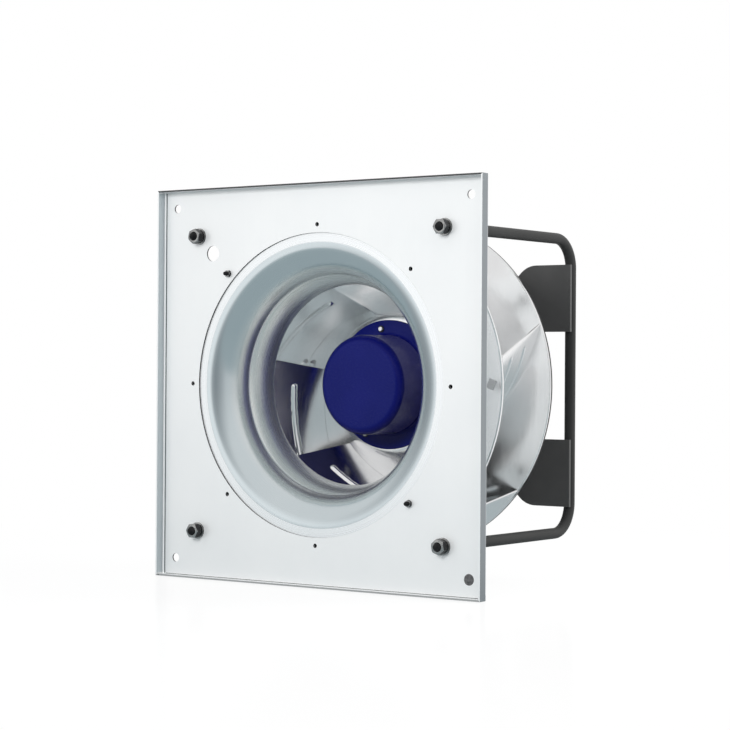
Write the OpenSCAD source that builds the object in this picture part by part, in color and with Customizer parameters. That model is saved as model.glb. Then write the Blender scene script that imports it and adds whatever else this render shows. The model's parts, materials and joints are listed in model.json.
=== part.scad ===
// Plug fan for an air handling unit: a square plate with an inlet nozzle, a backward-curved
// impeller on an external-rotor motor, and two bent bars with a motor plate that carry it.
// Millimetres. The plate's front face is Y = 0, the fan axis runs along Y, and Z is up.

/* [Mounting plate] */
// side of the square plate
plate_side = 500; // [480:1:540]
// sheet thickness of the plate
plate_sheet = 2; // [1.5:0.1:3]
// depth of the edge flanges in front of the plate
flange_depth = 13; // [9:0.5:25]
// outer radius of the flange bends
bend_radius = 3.5; // [3.2:0.1:6]
// spacing of the corner mounting holes
corner_spacing = 453; // [448:1:460]
// diameter of the corner mounting holes
corner_hole_d = 11; // [7:0.5:14]
// distance of the small holes from the edge of the opening
guard_margin = 10; // [8:0.5:12]
// diameter of the small holes
guard_hole_d = 5.5; // [5.2:0.1:6.5]
// diameter of the cable hole
cable_hole_d = 20; // [16:0.5:24]
// cable hole offset from the axis, both ways
cable_hole_offset = 167; // [164:0.5:170]

/* [Inlet nozzle] */
// sheet thickness of the nozzle
nozzle_sheet = 1.5; // [1:0.1:2]
// radius of the bell curve
bell_radius = 38; // [34:0.5:42]
// flat ring of the nozzle that shows inside the plate's opening
flat_ring = 12; // [8:0.5:13]
// diameter of the nozzle outlet
throat_d = 254; // [248:1:258]
// radial narrowing of the throat behind the bell
throat_flare = 12; // [8:0.5:14]
// length of the throat behind the bell
throat_length = 37; // [32:0.5:42]
// rim of the nozzle flange outside the small holes
nozzle_rim = 8; // [6:0.5:9]

/* [Impeller] */
// outer diameter of the impeller
impeller_d = 430; // [416:1:440]
// forward lip of the shroud rim
shroud_lip = 4; // [2.5:0.5:6]
// radial gap between nozzle outlet and shroud collar
collar_gap = 2.5; // [2:0.1:4]
// length of the nozzle inside the shroud collar
collar_overlap = 12; // [8:0.5:13]
// straight lip of the shroud collar
collar_lip = 2; // [1:0.5:4]
// sheet thickness of the shroud
shroud_sheet = 2; // [1.5:0.1:2.5]
// bend radius behind the shroud collar
shroud_bend = 12; // [9:0.5:15]
// slope of the shroud against the plate in degrees
shroud_slope = 12; // [9:0.5:14]
// distance between the two rims at the outlet
outlet_width = 110; // [104:1:116]
// sheet thickness of the back plate
back_sheet = 2; // [1.5:0.1:2.5]
// backward lip of the back plate rim
back_lip = 5; // [3:0.5:8]
// number of blades
blade_count = 6; // [6:1:6]
// sheet thickness of a blade
blade_sheet = 2; // [1.5:0.1:2.5]
// curve radius of a blade
blade_radius = 211; // [206:0.5:216]
// lean of a blade against the fan axis in degrees
blade_lean = 18.2; // [16.2:0.1:20.2]
// radius of the leading edge at the back plate
blade_inner_r = 103; // [100:0.5:108]
// weld gap along the blade edges
blade_seat = 0.2; // [0.1:0.05:0.3]
// half width of a pressed bead
bead_r = 4; // [3:0.25:5]
// sheet left behind a bead
bead_sheet = 1.6; // [1.2:0.1:2]

/* [Motor] */
// outer diameter of the rotor
rotor_d = 128; // [124:1:132]
// free length between nozzle outlet and rotor front
nose_gap = 15; // [12:1:20]
// length of the rotor in front of its flange
rotor_front_length = 62; // [57:1:66]
// length of the rotor behind its flange
rotor_tail_length = 39; // [36:1:42]
// edge radius of the rotor front
rotor_edge = 10; // [7:0.5:11]
// wall thickness of the rotor
rotor_wall = 4; // [3:0.5:5]
// diameter of the rotor flange
rotor_flange_d = 168; // [164:1:174]
// thickness of the rotor flange
rotor_flange_sheet = 3; // [2.5:0.5:4]
// circle of the rotor flange screws
rotor_screw_circle_d = 146; // [143:1:149]
// number of rotor flange screws
rotor_screw_count = 5; // [3:1:8]
// thread diameter of the rotor flange screws
rotor_screw_d = 6; // [5:0.5:8]
// shaft diameter
shaft_d = 20; // [17:1:22]
// radial clearance of the shaft in its bearings
shaft_clearance = 0.03; // [0.02:0.01:0.08]
// outer diameter of the bearings
bearing_d = 47; // [44:1:50]
// width of a bearing
bearing_width = 14; // [12:1:15]
// wall thickness of the bearing tube
tube_wall = 5.5; // [4:0.5:6]
// thickness of the magnets
magnet_sheet = 4; // [3:0.5:5]
// number of magnet poles
pole_count = 10; // [8:2:14]
// air gap between magnets and stator
air_gap = 0.8; // [0.6:0.1:1.5]
// number of stator slots
slot_count = 12; // [9:3:15]

/* [Electronics housing] */
// outer diameter of the housing wall
housing_d = 160; // [156:1:164]
// wall thickness of the housing
housing_wall = 6; // [5:0.5:7]
// length of the housing
housing_length = 80; // [76:1:90]
// outer diameter over the cooling fins
fin_d = 186; // [178:1:192]
// number of cooling fins
fin_count = 36; // [24:2:44]
// thickness of a cooling fin
fin_sheet = 3; // [2.5:0.25:4]
// thread diameter of the cable glands
gland_d = 16; // [12:0.5:18]
// spacing of the cable glands
gland_spacing = 40; // [38:1:42]

/* [Support frame] */
// diameter of the bent bars
bar_d = 14; // [12:0.5:18]
// spacing of the bars, both ways
bar_spacing = 379; // [374:0.5:384]
// bend radius of the bar's centre line
bar_bend = 38; // [30:1:46]
// thread diameter of the bar ends
stud_d = 10; // [8:1:12]
// length of the stud in front of the plate
stud_reach = 16; // [15.5:0.5:20]
// thickness of the motor plate
motor_plate_sheet = 4; // [3:0.5:6]
// lower edge of a motor plate arm
arm_low = 70; // [60:1:80]
// upper edge of a motor plate arm
arm_high = 157; // [150:1:164]
// corner radius of a motor plate arm
arm_corner = 33; // [24:1:40]
// thread diameter of the motor plate screws
plate_screw_d = 8; // [6:0.5:8.5]

/* [Hidden] */
$fn = 96;
// general clearance between fitted pieces
fit_gap = 0.1;
// clearance of a screw in its through hole
hole_gap = 0.5;
// overlap used where two shapes are joined into one
weld = 0.6;
arc_steps = 10;

corner_r = corner_spacing / 2;
bar_r = bar_spacing / 2;
guard_hole_count = 8;
guard_bolt_angles = [45, 225];
guard_bolt_d = guard_hole_d - hole_gap;
guard_nut_af = 8;
guard_nut_h = 4;
guard_bolt_reach = 9;
guard_head_d = 8.5;
guard_head_h = 3;

throat_r = throat_d / 2;
bell_r = throat_r + throat_flare;
bell_flat_r = bell_r + bell_radius;
opening_r = bell_flat_r + flat_ring;
guard_r = opening_r + guard_margin;
bell_z = plate_sheet + bell_radius;
throat_z = bell_z + throat_length;
throat_turn = 2 * atan(throat_flare / throat_length);
throat_curve = throat_length / sin(throat_turn);
nozzle_outer_r = guard_r + nozzle_rim;

impeller_r = impeller_d / 2;
collar_r = throat_r + nozzle_sheet + collar_gap;
collar_z = throat_z - collar_overlap;
shroud_bend_z = collar_z + collar_lip;
shroud_cone_r = collar_r + shroud_bend * (1 - sin(shroud_slope));
shroud_cone_z = shroud_bend_z + shroud_bend * cos(shroud_slope);
shroud_rim_z = shroud_cone_z + (impeller_r - shroud_cone_r) * tan(shroud_slope);
back_rim_z = shroud_rim_z + outlet_width;

rotor_r = rotor_d / 2;
rotor_front_z = throat_z + nose_gap;
rotor_flange_z = rotor_front_z + rotor_front_length;
rotor_flange_r = rotor_flange_d / 2;
back_z = rotor_flange_z + rotor_flange_sheet;
rotor_end_z = back_z + rotor_tail_length;
rotor_screw_r = rotor_screw_circle_d / 2;
rotor_screw_head_d = 1.6 * rotor_screw_d;
rotor_screw_head_h = 0.55 * rotor_screw_d;
rotor_screw_phase = 98;
rotor_cavity_r = rotor_r - rotor_wall;
rotor_cavity_z = rotor_front_z + rotor_wall + 1;
back_hub_r = rotor_flange_r + 4;
back_bore_r = rotor_r + fit_gap;
back_turn = atan((back_rim_z - back_z) / (impeller_r - back_hub_r));

blade_depth = back_z + 43;
blade_pole = [-8.3, -132.6];
blade_lean_dir = -113;
blade_start = 118;
blade_sweep = 87;
blade_tip_r = impeller_r - 1;
blade_front_r = collar_r + 2.5;
blade_front_z = shroud_bend_z + shroud_bend * 0.8;
blade_nose_r = collar_r - 3;
blade_nose_z = throat_z + 3.5;
// beads of a blade: angle of the middle, height, half length as an angle, slope
long_bead = [160, -140.4, 26.5, -9.7];
short_bead = [144.5, -86.5, 12, -4];
tab_length = 12;
tab_width = 10;
tab_sheet = 1.5;
tab_radii = [impeller_r - 15, impeller_r - 52];
tab_seat = 0.1;

shaft_r = shaft_d / 2;
boss_r = shaft_r + 7;
boss_length = 16;
tube_in_r = bearing_d / 2;
tube_out_r = tube_in_r + tube_wall;
tube_step = 4;
tube_z = rotor_cavity_z + boss_length + 2;
bearing_bore_r = shaft_r + shaft_clearance;
bearing_seat = bearing_width + 2;
stator_plate_z = rotor_end_z + 2;
stator_plate_sheet = 8;
housing_z = stator_plate_z + stator_plate_sheet;
rear_bearing_z = housing_z - bearing_width - 4;
rear_seat_z = rear_bearing_z - 3;
spring_sheet = 2.4;
circlip_sheet = 1.2;
circlip_z = rear_bearing_z + bearing_width + 0.3;
shaft_end_z = circlip_z + circlip_sheet + 1;
magnet_in_r = rotor_cavity_r - fit_gap / 2 - magnet_sheet;
magnet_overhang = 4;
pole_gap = 1.6;
core_r = magnet_in_r - air_gap;
core_z = tube_z + 6;
core_end_z = stator_plate_z - 20;
slot_in_r = tube_out_r + 6;
slot_out_r = core_r - 4;
slot_w = 2 * PI * slot_in_r / slot_count * 0.48;
slot_mouth = 2.5;
coil_reach = 11;

housing_r = housing_d / 2;
housing_in_r = housing_r - housing_wall;
housing_floor = 8;
housing_end_z = housing_z + housing_length;
housing_rim_r = housing_r + 17;
housing_rim_z = housing_end_z - 10;
post_circle_r = housing_in_r - 16;
post_count = 4;
post_phase = 45;
post_r = 5;
board_z = housing_z + housing_floor + 30;
board_sheet = 1.6;
board_r = housing_in_r - 4;
capacitor_r = 11;
capacitor_h = 30;
capacitor_pitch = 2 * capacitor_r + 3;
block_w = gland_spacing + 36;
block_end = housing_r + 18;
block_z = housing_z + 28;
block_depth = 40;
gland_r = gland_d / 2;
gland_nut_af = gland_d + 8;
gland_thread = 10;
gland_hex_h = 5;
gland_dome_h = 13;
gland_bore_r = gland_r * 0.55;
stator_screw_count = 4;
stator_screw_phase = 45;
stator_screw_r = housing_r - 12;
stator_screw_d = 6;
stator_screw_depth = 5.5;
stator_screw_length = stator_plate_sheet + stator_screw_depth;
stator_head_d = 1.6 * stator_screw_d;
stator_head_h = 0.2 * stator_screw_d;

motor_plate_z = housing_end_z;
motor_plate_end_z = motor_plate_z + motor_plate_sheet;
plate_screw_r = housing_rim_r - 8.5;
plate_screw_count = 6;
plate_screw_head_d = 1.6 * plate_screw_d;
plate_screw_head_h = 0.65 * plate_screw_d;
plate_screw_phase = 30;
plate_screw_length = 8 + motor_plate_sheet;
plate_socket_af = 0.6 * plate_screw_d;
plate_bore_r = housing_r - 0.5;
plate_disc_r = housing_rim_r + 11;
arm_end = bar_r + 6;
arm_corner_x = 144;
arm_notch_x = 128;
arm_notch_r = 20;
arm_root = 40;
weld_seat = 0.3;
bar_depth = motor_plate_end_z + weld_seat + bar_d / 2;

cover_r = plate_bore_r - 1;
gasket_sheet = 1.2;
cover_z = housing_end_z + gasket_sheet;
cover_sheet = 4;
cover_screw_d = 5;
cover_head_d = 1.7 * cover_screw_d;
cover_head_h = 0.6 * cover_screw_d;
cover_screw_length = 18;
cover_screw_count = 4;
cover_screw_r = housing_in_r - 4;
cover_boss_r = 6;
cover_boss_length = 24;
cover_dome_taper = 4;
cover_dome_h = 9;
cover_dome_r = cover_screw_r - cover_head_d / 2 - cover_dome_taper - 3;

washer_d = 2.1 * stud_d;
washer_sheet = 2;
spring_washer_d = 1.8 * stud_d;
spring_washer_sheet = 2.5;
nut_af = 1.7 * stud_d;
nut_h = 0.8 * stud_d;

steel = [0.80, 0.82, 0.84];
galvanised = [0.86, 0.88, 0.89];
aluminium = [0.78, 0.79, 0.80];
coated = [0.16, 0.16, 0.17];
rotor_blue = [0.09, 0.09, 0.42];
zinc_dark = [0.30, 0.30, 0.31];
copper = [0.72, 0.42, 0.20];
board_green = [0.08, 0.32, 0.16];
plastic_black = [0.07, 0.07, 0.08];
rubber_black = [0.05, 0.05, 0.05];
magnet_grey = [0.24, 0.24, 0.26];

// points of an arc in a plane
function arc_points(cx, cy, r, a0, a1) =
    [for (i = [0:arc_steps]) let(a = a0 + (a1 - a0) * i / arc_steps) [cx + r * cos(a), cy + r * sin(a)]];

// how far a point of the shroud at radius r and angle t lies off the blade's curve
function blade_miss(r, t) = let(
    x = r * cos(t) - blade_pole[0],
    y = r * sin(t) - blade_pole[1],
    d = shroud_cone_z + (r - shroud_cone_r) * tan(shroud_slope) - blade_depth,
    u = x * cos(blade_lean_dir) + y * sin(blade_lean_dir),
    v = y * cos(blade_lean_dir) - x * sin(blade_lean_dir),
    w = u * cos(blade_lean) - d * sin(blade_lean))
    w * w + v * v - blade_radius * blade_radius;

// angle at which a blade meets the shroud at radius r, found by halving
function blade_angle(r, lo = -40, hi = 90, steps = 30) = let(mid = (lo + hi) / 2)
    steps == 0 ? mid
    : blade_miss(r, lo) * blade_miss(r, mid) <= 0 ? blade_angle(r, lo, mid, steps - 1)
    : blade_angle(r, mid, hi, steps - 1);

// turns the drawing axis, with depth along Z, to the fan axis along Y
module on_axis() {
    rotate([-90, 0, 0]) children();
}

// copies children to a ring of equal steps
module ring_of(count, r, phase = 0) {
    for (i = [0:count - 1]) rotate([0, 0, phase + i * 360 / count]) translate([r, 0, 0]) children();
}

// copies children to the four corners of a square
module four_corners(r) {
    for (sx = [-1, 1], sy = [-1, 1]) translate([sx * r, sy * r, 0]) children();
}

module tube(r_out, r_in, h) {
    difference() {
        cylinder(r = r_out, h = h);
        translate([0, 0, -1]) cylinder(r = r_in, h = h + 2);
    }
}

// hexagon across flats
module hexagon(af, h) {
    cylinder(r = af / 2 / cos(30), h = h, $fn = 6);
}

// side profile of the folded plate: width across, height along the axis
module pan_profile(half, front, back, r) {
    polygon(concat(
        [[-half, front], [half, front]],
        arc_points(half - r, back - r, r, 0, 90),
        arc_points(-half + r, back - r, r, 90, 180)));
}

// solid folded from one profile in both directions
module pan_solid(half, front, back, r) {
    intersection_for (turn = [0, 90]) rotate([90, 0, turn])
        linear_extrude(height = 2 * half + 2, center = true) pan_profile(half, front, back, r);
}

// round hole through the plate
module plate_hole(d) {
    translate([0, 0, -1]) cylinder(r = d / 2, h = plate_sheet + 2);
}

module mounting_plate() {
    color(galvanised) on_axis() difference() {
        pan_solid(plate_side / 2, -flange_depth, plate_sheet, bend_radius);
        pan_solid(plate_side / 2 - plate_sheet, -flange_depth - 1, 0, bend_radius - plate_sheet);
        plate_hole(2 * opening_r);
        four_corners(corner_r) plate_hole(corner_hole_d);
        four_corners(bar_r) plate_hole(stud_d + 2 * hole_gap);
        ring_of(guard_hole_count, guard_r) plate_hole(guard_hole_d);
        translate([-cable_hole_offset, -cable_hole_offset, 0]) plate_hole(cable_hole_d);
    }
}

// ring sector in the radius and depth plane
module profile_arc(cr, cz, r_out, r_in, a0, a1) {
    reach = 1.6 * r_out;
    intersection() {
        translate([cr, cz]) difference() {
            circle(r = r_out);
            circle(r = r_in);
        }
        polygon([[cr, cz], [cr + reach * cos(a0), cz + reach * sin(a0)],
            [cr + reach * cos((a0 + a1) / 2), cz + reach * sin((a0 + a1) / 2)],
            [cr + reach * cos(a1), cz + reach * sin(a1)]]);
    }
}

module inlet_nozzle() {
    color(steel) on_axis() difference() {
        rotate_extrude() union() {
            translate([bell_flat_r, plate_sheet]) square([nozzle_outer_r - bell_flat_r, nozzle_sheet]);
            profile_arc(bell_flat_r, bell_z, bell_radius, bell_radius - nozzle_sheet, 180, 270);
            profile_arc(throat_r + throat_curve, throat_z, throat_curve, throat_curve - nozzle_sheet,
                180, 180 + throat_turn + 1);
        }
        translate([0, 0, plate_sheet - 1]) ring_of(guard_hole_count, guard_r)
            cylinder(r = guard_hole_d / 2, h = nozzle_sheet + 2);
    }
}

module nozzle_bolts() {
    color(zinc_dark) on_axis() for (a = guard_bolt_angles) rotate([0, 0, a]) translate([guard_r, 0, 0]) {
        translate([0, 0, -guard_bolt_reach])
            cylinder(r = guard_bolt_d / 2, h = guard_bolt_reach + plate_sheet + nozzle_sheet + weld);
        translate([0, 0, plate_sheet + nozzle_sheet]) cylinder(r = guard_head_d / 2, h = guard_head_h);
    }
}

module nozzle_nuts() {
    color(zinc_dark) on_axis() for (a = guard_bolt_angles) rotate([0, 0, a])
        translate([guard_r, 0, -guard_nut_h]) difference() {
            hexagon(guard_nut_af, guard_nut_h);
            translate([0, 0, -1]) cylinder(r = guard_bolt_d / 2 + fit_gap, h = guard_nut_h + 2);
        }
}

// one bent bar with a stud at each end, at a given side
module support_bar(side) {
    r = bar_d / 2;
    straight = bar_depth - bar_bend;
    rise = bar_r - bar_bend;
    color(coated) on_axis() translate([side * bar_r, 0, 0]) union() {
        for (s = [-1, 1]) {
            translate([0, s * bar_r, plate_sheet]) cylinder(r = r, h = straight - plate_sheet);
            translate([0, s * bar_r, -stud_reach])
                cylinder(r = stud_d / 2, h = stud_reach + plate_sheet + weld);
            translate([0, s * rise, straight]) rotate([0, 90, 0])
                rotate_extrude(angle = 90, start = s > 0 ? 90 : 180) translate([bar_bend, 0]) circle(r = r);
        }
        translate([0, 0, bar_depth]) rotate([90, 0, 0]) cylinder(r = r, h = 2 * rise, center = true);
    }
}

module support_bar_left() {
    support_bar(-1);
}

module support_bar_right() {
    support_bar(1);
}

module bracket_washers() {
    color(zinc_dark) on_axis() four_corners(bar_r) translate([0, 0, -washer_sheet])
        tube(washer_d / 2, stud_d / 2 + fit_gap, washer_sheet);
}

// split lock washers with a gap at the top
module bracket_spring_washers() {
    color(zinc_dark) on_axis() four_corners(bar_r) translate([0, 0, -washer_sheet - spring_washer_sheet])
        difference() {
            tube(spring_washer_d / 2, stud_d / 2 + fit_gap, spring_washer_sheet);
            translate([-0.75, -spring_washer_d, -1]) cube([1.5, spring_washer_d, spring_washer_sheet + 2]);
        }
}

module bracket_nuts() {
    color(zinc_dark) on_axis() four_corners(bar_r)
        translate([0, 0, -washer_sheet - spring_washer_sheet - nut_h]) difference() {
            hexagon(nut_af, nut_h);
            translate([0, 0, -1]) cylinder(r = stud_d / 2 + fit_gap, h = nut_h + 2);
        }
}

// outline of one arm in the upper right quarter
module arm_outline() {
    polygon(concat(
        [[arm_end, arm_low], [arm_end, arm_high]],
        arc_points(arm_corner_x, arm_high - arm_corner, arm_corner, 90, 135),
        [[arm_root, arm_root + arm_high - arm_corner - arm_corner_x + arm_corner * sqrt(2)],
            [arm_root / 2, arm_root / 2]],
        arc_points(arm_notch_x, arm_low - arm_notch_r, arm_notch_r, 135, 90)));
}

module motor_plate() {
    color(coated) on_axis() translate([0, 0, motor_plate_z]) difference() {
        union() {
            cylinder(r = plate_disc_r, h = motor_plate_sheet);
            for (mx = [0, 1], my = [0, 1]) mirror([mx, 0, 0]) mirror([0, my, 0])
                linear_extrude(height = motor_plate_sheet) arm_outline();
        }
        translate([0, 0, -1]) cylinder(r = plate_bore_r, h = motor_plate_sheet + 2);
        translate([0, 0, -1]) ring_of(plate_screw_count, plate_screw_r, plate_screw_phase)
            cylinder(r = (plate_screw_d + hole_gap) / 2, h = motor_plate_sheet + 2);
    }
}

module motor_plate_screws() {
    color(zinc_dark) on_axis() ring_of(plate_screw_count, plate_screw_r, plate_screw_phase) {
        translate([0, 0, motor_plate_end_z]) difference() {
            cylinder(r = plate_screw_head_d / 2, h = plate_screw_head_h);
            translate([0, 0, plate_screw_head_h / 2]) hexagon(plate_socket_af, plate_screw_head_h);
        }
        translate([0, 0, motor_plate_end_z - plate_screw_length])
            cylinder(r = plate_screw_d / 2 - fit_gap, h = plate_screw_length + weld);
    }
}

// bearing tube and closing disc of the motor, cast in one
module stator_flange() {
    color(aluminium) on_axis() difference() {
        union() {
            translate([0, 0, tube_z]) cylinder(r = tube_out_r, h = housing_z - tube_z);
            translate([0, 0, stator_plate_z]) cylinder(r = housing_r - 2, h = stator_plate_sheet);
        }
        translate([0, 0, tube_z - 1]) cylinder(r = tube_in_r, h = bearing_seat + 1);
        translate([0, 0, tube_z]) cylinder(r = tube_in_r - tube_step, h = housing_z - tube_z);
        translate([0, 0, rear_seat_z]) cylinder(r = tube_in_r, h = housing_z - rear_seat_z + 1);
        translate([0, 0, stator_plate_z - 1]) ring_of(stator_screw_count, stator_screw_r, stator_screw_phase)
            cylinder(r = (stator_screw_d + hole_gap) / 2, h = stator_plate_sheet + 2);
    }
}

module stator_screws() {
    color(zinc_dark) on_axis() ring_of(stator_screw_count, stator_screw_r, stator_screw_phase) {
        translate([0, 0, stator_plate_z - stator_head_h]) cylinder(r = stator_head_d / 2, h = stator_head_h);
        translate([0, 0, stator_plate_z - weld])
            cylinder(r = stator_screw_d / 2, h = stator_screw_length + weld);
    }
}

module stator_core() {
    color(steel) on_axis() translate([0, 0, core_z]) difference() {
        cylinder(r = core_r, h = core_end_z - core_z);
        translate([0, 0, -1]) cylinder(r = tube_out_r + fit_gap / 2, h = core_end_z - core_z + 2);
        ring_of(slot_count, 0) translate([slot_in_r, -slot_w / 2, -1])
            cube([slot_out_r - slot_in_r, slot_w, core_end_z - core_z + 2]);
        ring_of(slot_count, 0) translate([slot_out_r - 1, -slot_mouth / 2, -1])
            cube([10, slot_mouth, core_end_z - core_z + 2]);
    }
}

module stator_windings() {
    ring_in = slot_in_r + fit_gap;
    ring_out = slot_out_r - fit_gap;
    color(copper) on_axis() union() {
        translate([0, 0, core_z - coil_reach]) tube(ring_out, ring_in, coil_reach - fit_gap);
        translate([0, 0, core_end_z + fit_gap]) tube(ring_out, ring_in, coil_reach - fit_gap);
        ring_of(slot_count, 0) translate([ring_in + 1, -slot_w / 2 + fit_gap, core_z - coil_reach + 1])
            cube([ring_out - ring_in - 2, slot_w - 2 * fit_gap, core_end_z - core_z + 2 * coil_reach - 2]);
    }
}

// ball bearing drawn as inner ring, outer ring and shield
module bearing(z) {
    on_axis() translate([0, 0, z]) difference() {
        tube(tube_in_r - fit_gap / 5, bearing_bore_r, bearing_width);
        for (s = [-0.5, bearing_width - 0.5]) translate([0, 0, s])
            tube(tube_in_r - 3, shaft_r + 3, 1);
    }
}

module front_bearing() {
    color(steel) bearing(tube_z + bearing_seat - bearing_width);
}

module rear_bearing() {
    color(steel) bearing(rear_bearing_z);
}

module preload_spring() {
    color(zinc_dark) on_axis() translate([0, 0, rear_bearing_z - spring_sheet - fit_gap])
        tube(tube_in_r - 0.3, tube_in_r - 3.5, spring_sheet);
}

// place of a cable gland under the terminal block, pointing down
module at_gland(side) {
    translate([side * gland_spacing / 2, block_end, block_z + block_depth / 2])
        rotate([-90, 0, 0]) children();
}

// finned electronics housing with a terminal block below
module electronics_housing() {
    color(coated) on_axis() difference() {
        union() {
            translate([0, 0, housing_z]) cylinder(r = housing_r, h = housing_length);
            translate([0, 0, housing_rim_z]) cylinder(r = housing_rim_r, h = housing_end_z - housing_rim_z);
            intersection() {
                translate([0, 0, housing_z + 8]) cylinder(r = fin_d / 2, h = housing_rim_z - housing_z - 7);
                ring_of(fin_count, 0, 180 / fin_count) translate([housing_r - 3, -fin_sheet / 2, housing_z])
                    cube([fin_d, fin_sheet, housing_length - 5]);
            }
            translate([-block_w / 2, 0, block_z]) cube([block_w, block_end, block_depth]);
        }
        difference() {
            translate([0, 0, housing_z + housing_floor]) cylinder(r = housing_in_r, h = housing_length);
            translate([0, 0, housing_z]) ring_of(post_count, post_circle_r, post_phase)
                cylinder(r = post_r, h = board_z - housing_z);
            translate([0, 0, housing_end_z - cover_boss_length]) ring_of(cover_screw_count, cover_screw_r)
                cylinder(r = cover_boss_r, h = cover_boss_length + 1);
        }
        translate([0, 0, housing_end_z - cover_boss_length + 4]) ring_of(cover_screw_count, cover_screw_r)
            cylinder(r = cover_screw_d / 2 + fit_gap, h = cover_boss_length);
        translate([0, 0, motor_plate_end_z - plate_screw_length - 1])
            ring_of(plate_screw_count, plate_screw_r, plate_screw_phase)
            cylinder(r = plate_screw_d / 2, h = plate_screw_length);
        translate([0, 0, housing_z - 1]) ring_of(stator_screw_count, stator_screw_r, stator_screw_phase)
            cylinder(r = stator_screw_d / 2 + fit_gap, h = stator_screw_depth + 2);
        for (side = [-1, 1]) at_gland(side) translate([0, 0, -block_end + housing_in_r - 12])
            cylinder(r = gland_r, h = block_end - housing_in_r + 13);
    }
}

module circuit_board() {
    color(board_green) on_axis() translate([0, 0, board_z]) difference() {
        cylinder(r = board_r, h = board_sheet);
        translate([0, 0, -1]) ring_of(post_count, post_circle_r, post_phase)
            cylinder(r = 0.3 * post_r, h = board_sheet + 2);
    }
}

module capacitors() {
    color(plastic_black) on_axis() translate([0, 0, board_z + board_sheet])
        for (place = [-1, 0, 1]) translate([place * capacitor_pitch, -capacitor_pitch, 0])
            cylinder(r = capacitor_r, h = capacitor_h);
}

module cover_gasket() {
    color(rubber_black) on_axis() translate([0, 0, housing_end_z]) difference() {
        union() {
            tube(cover_r, housing_in_r - 1, gasket_sheet);
            ring_of(cover_screw_count, cover_screw_r) cylinder(r = cover_boss_r, h = gasket_sheet);
        }
        translate([0, 0, -1]) ring_of(cover_screw_count, cover_screw_r)
            cylinder(r = (cover_screw_d + hole_gap) / 2, h = gasket_sheet + 2);
    }
}

module housing_cover() {
    color(plastic_black) on_axis() translate([0, 0, cover_z]) difference() {
        union() {
            cylinder(r = cover_r, h = cover_sheet);
            cylinder(r1 = cover_dome_r + cover_dome_taper, r2 = cover_dome_r, h = cover_dome_h);
        }
        translate([0, 0, -1]) cylinder(r = cover_dome_r - cover_sheet, h = cover_dome_h - cover_sheet / 2);
        translate([0, 0, -1]) ring_of(cover_screw_count, cover_screw_r)
            cylinder(r = (cover_screw_d + hole_gap) / 2, h = cover_sheet + 2);
    }
}

module cover_screws() {
    color(zinc_dark) on_axis() ring_of(cover_screw_count, cover_screw_r) {
        translate([0, 0, cover_z + cover_sheet]) cylinder(r = cover_head_d / 2, h = cover_head_h);
        translate([0, 0, cover_z + cover_sheet - cover_screw_length])
            cylinder(r = cover_screw_d / 2, h = cover_screw_length + weld);
    }
}

// cable gland on the terminal block, with its open bore
module cable_gland(side) {
    cap_r = 0.95 * gland_nut_af / 2;
    color(plastic_black) on_axis() at_gland(side) difference() {
        union() {
            translate([0, 0, -gland_thread]) cylinder(r = gland_r - fit_gap, h = gland_thread + weld);
            hexagon(gland_nut_af, gland_hex_h);
            translate([0, 0, gland_hex_h - weld])
                cylinder(r1 = cap_r, r2 = 0.8 * cap_r, h = gland_dome_h + weld);
        }
        translate([0, 0, -gland_thread - 1])
            cylinder(r = gland_bore_r, h = gland_thread + gland_hex_h + gland_dome_h + 2);
    }
}

module cable_gland_left() {
    cable_gland(-1);
}

module cable_gland_right() {
    cable_gland(1);
}

module shaft() {
    z0 = rotor_cavity_z + 1;
    color(steel) on_axis() difference() {
        translate([0, 0, z0]) cylinder(r = shaft_r, h = shaft_end_z - z0);
        translate([0, 0, circlip_z]) tube(shaft_r + 1, shaft_r - 1, circlip_sheet);
    }
}

module shaft_circlip() {
    color(zinc_dark) on_axis() translate([0, 0, circlip_z + fit_gap / 2]) difference() {
        tube(shaft_r + 2.5, shaft_r - 1 + fit_gap / 2, circlip_sheet - fit_gap);
        translate([0, -2, -1]) cube([shaft_r + 5, 4, circlip_sheet + 2]);
    }
}

// deep-drawn rotor with its mounting flange and shaft boss
module rotor_bell() {
    fillet = 4;
    color(rotor_blue) on_axis() difference() {
        union() {
            rotate_extrude() polygon(concat(
                [[0, rotor_front_z]],
                arc_points(rotor_r - rotor_edge, rotor_front_z + rotor_edge, rotor_edge, -90, 0),
                arc_points(rotor_r + fillet, rotor_flange_z - fillet, fillet, 180, 90),
                [[rotor_flange_r, rotor_flange_z], [rotor_flange_r, back_z], [rotor_r, back_z],
                    [rotor_r, rotor_end_z], [rotor_cavity_r, rotor_end_z],
                    [rotor_cavity_r, rotor_cavity_z], [boss_r, rotor_cavity_z],
                    [boss_r, rotor_cavity_z + boss_length], [0, rotor_cavity_z + boss_length]]));
        }
        translate([0, 0, rotor_cavity_z + 1]) cylinder(r = shaft_r + fit_gap / 5, h = boss_length + 2);
        translate([0, 0, rotor_flange_z - 1]) ring_of(rotor_screw_count, rotor_screw_r, -rotor_screw_phase)
            cylinder(r = (rotor_screw_d + hole_gap) / 2, h = rotor_flange_sheet + 2);
    }
}

module rotor_magnets() {
    color(magnet_grey) on_axis() translate([0, 0, core_z - magnet_overhang]) difference() {
        tube(magnet_in_r + magnet_sheet, magnet_in_r, core_end_z - core_z + 2 * magnet_overhang);
        ring_of(pole_count, 0) translate([magnet_in_r - 1, -pole_gap / 2, -1])
            cube([magnet_sheet + 2, pole_gap, core_end_z - core_z + 2 * magnet_overhang + 2]);
    }
}

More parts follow.
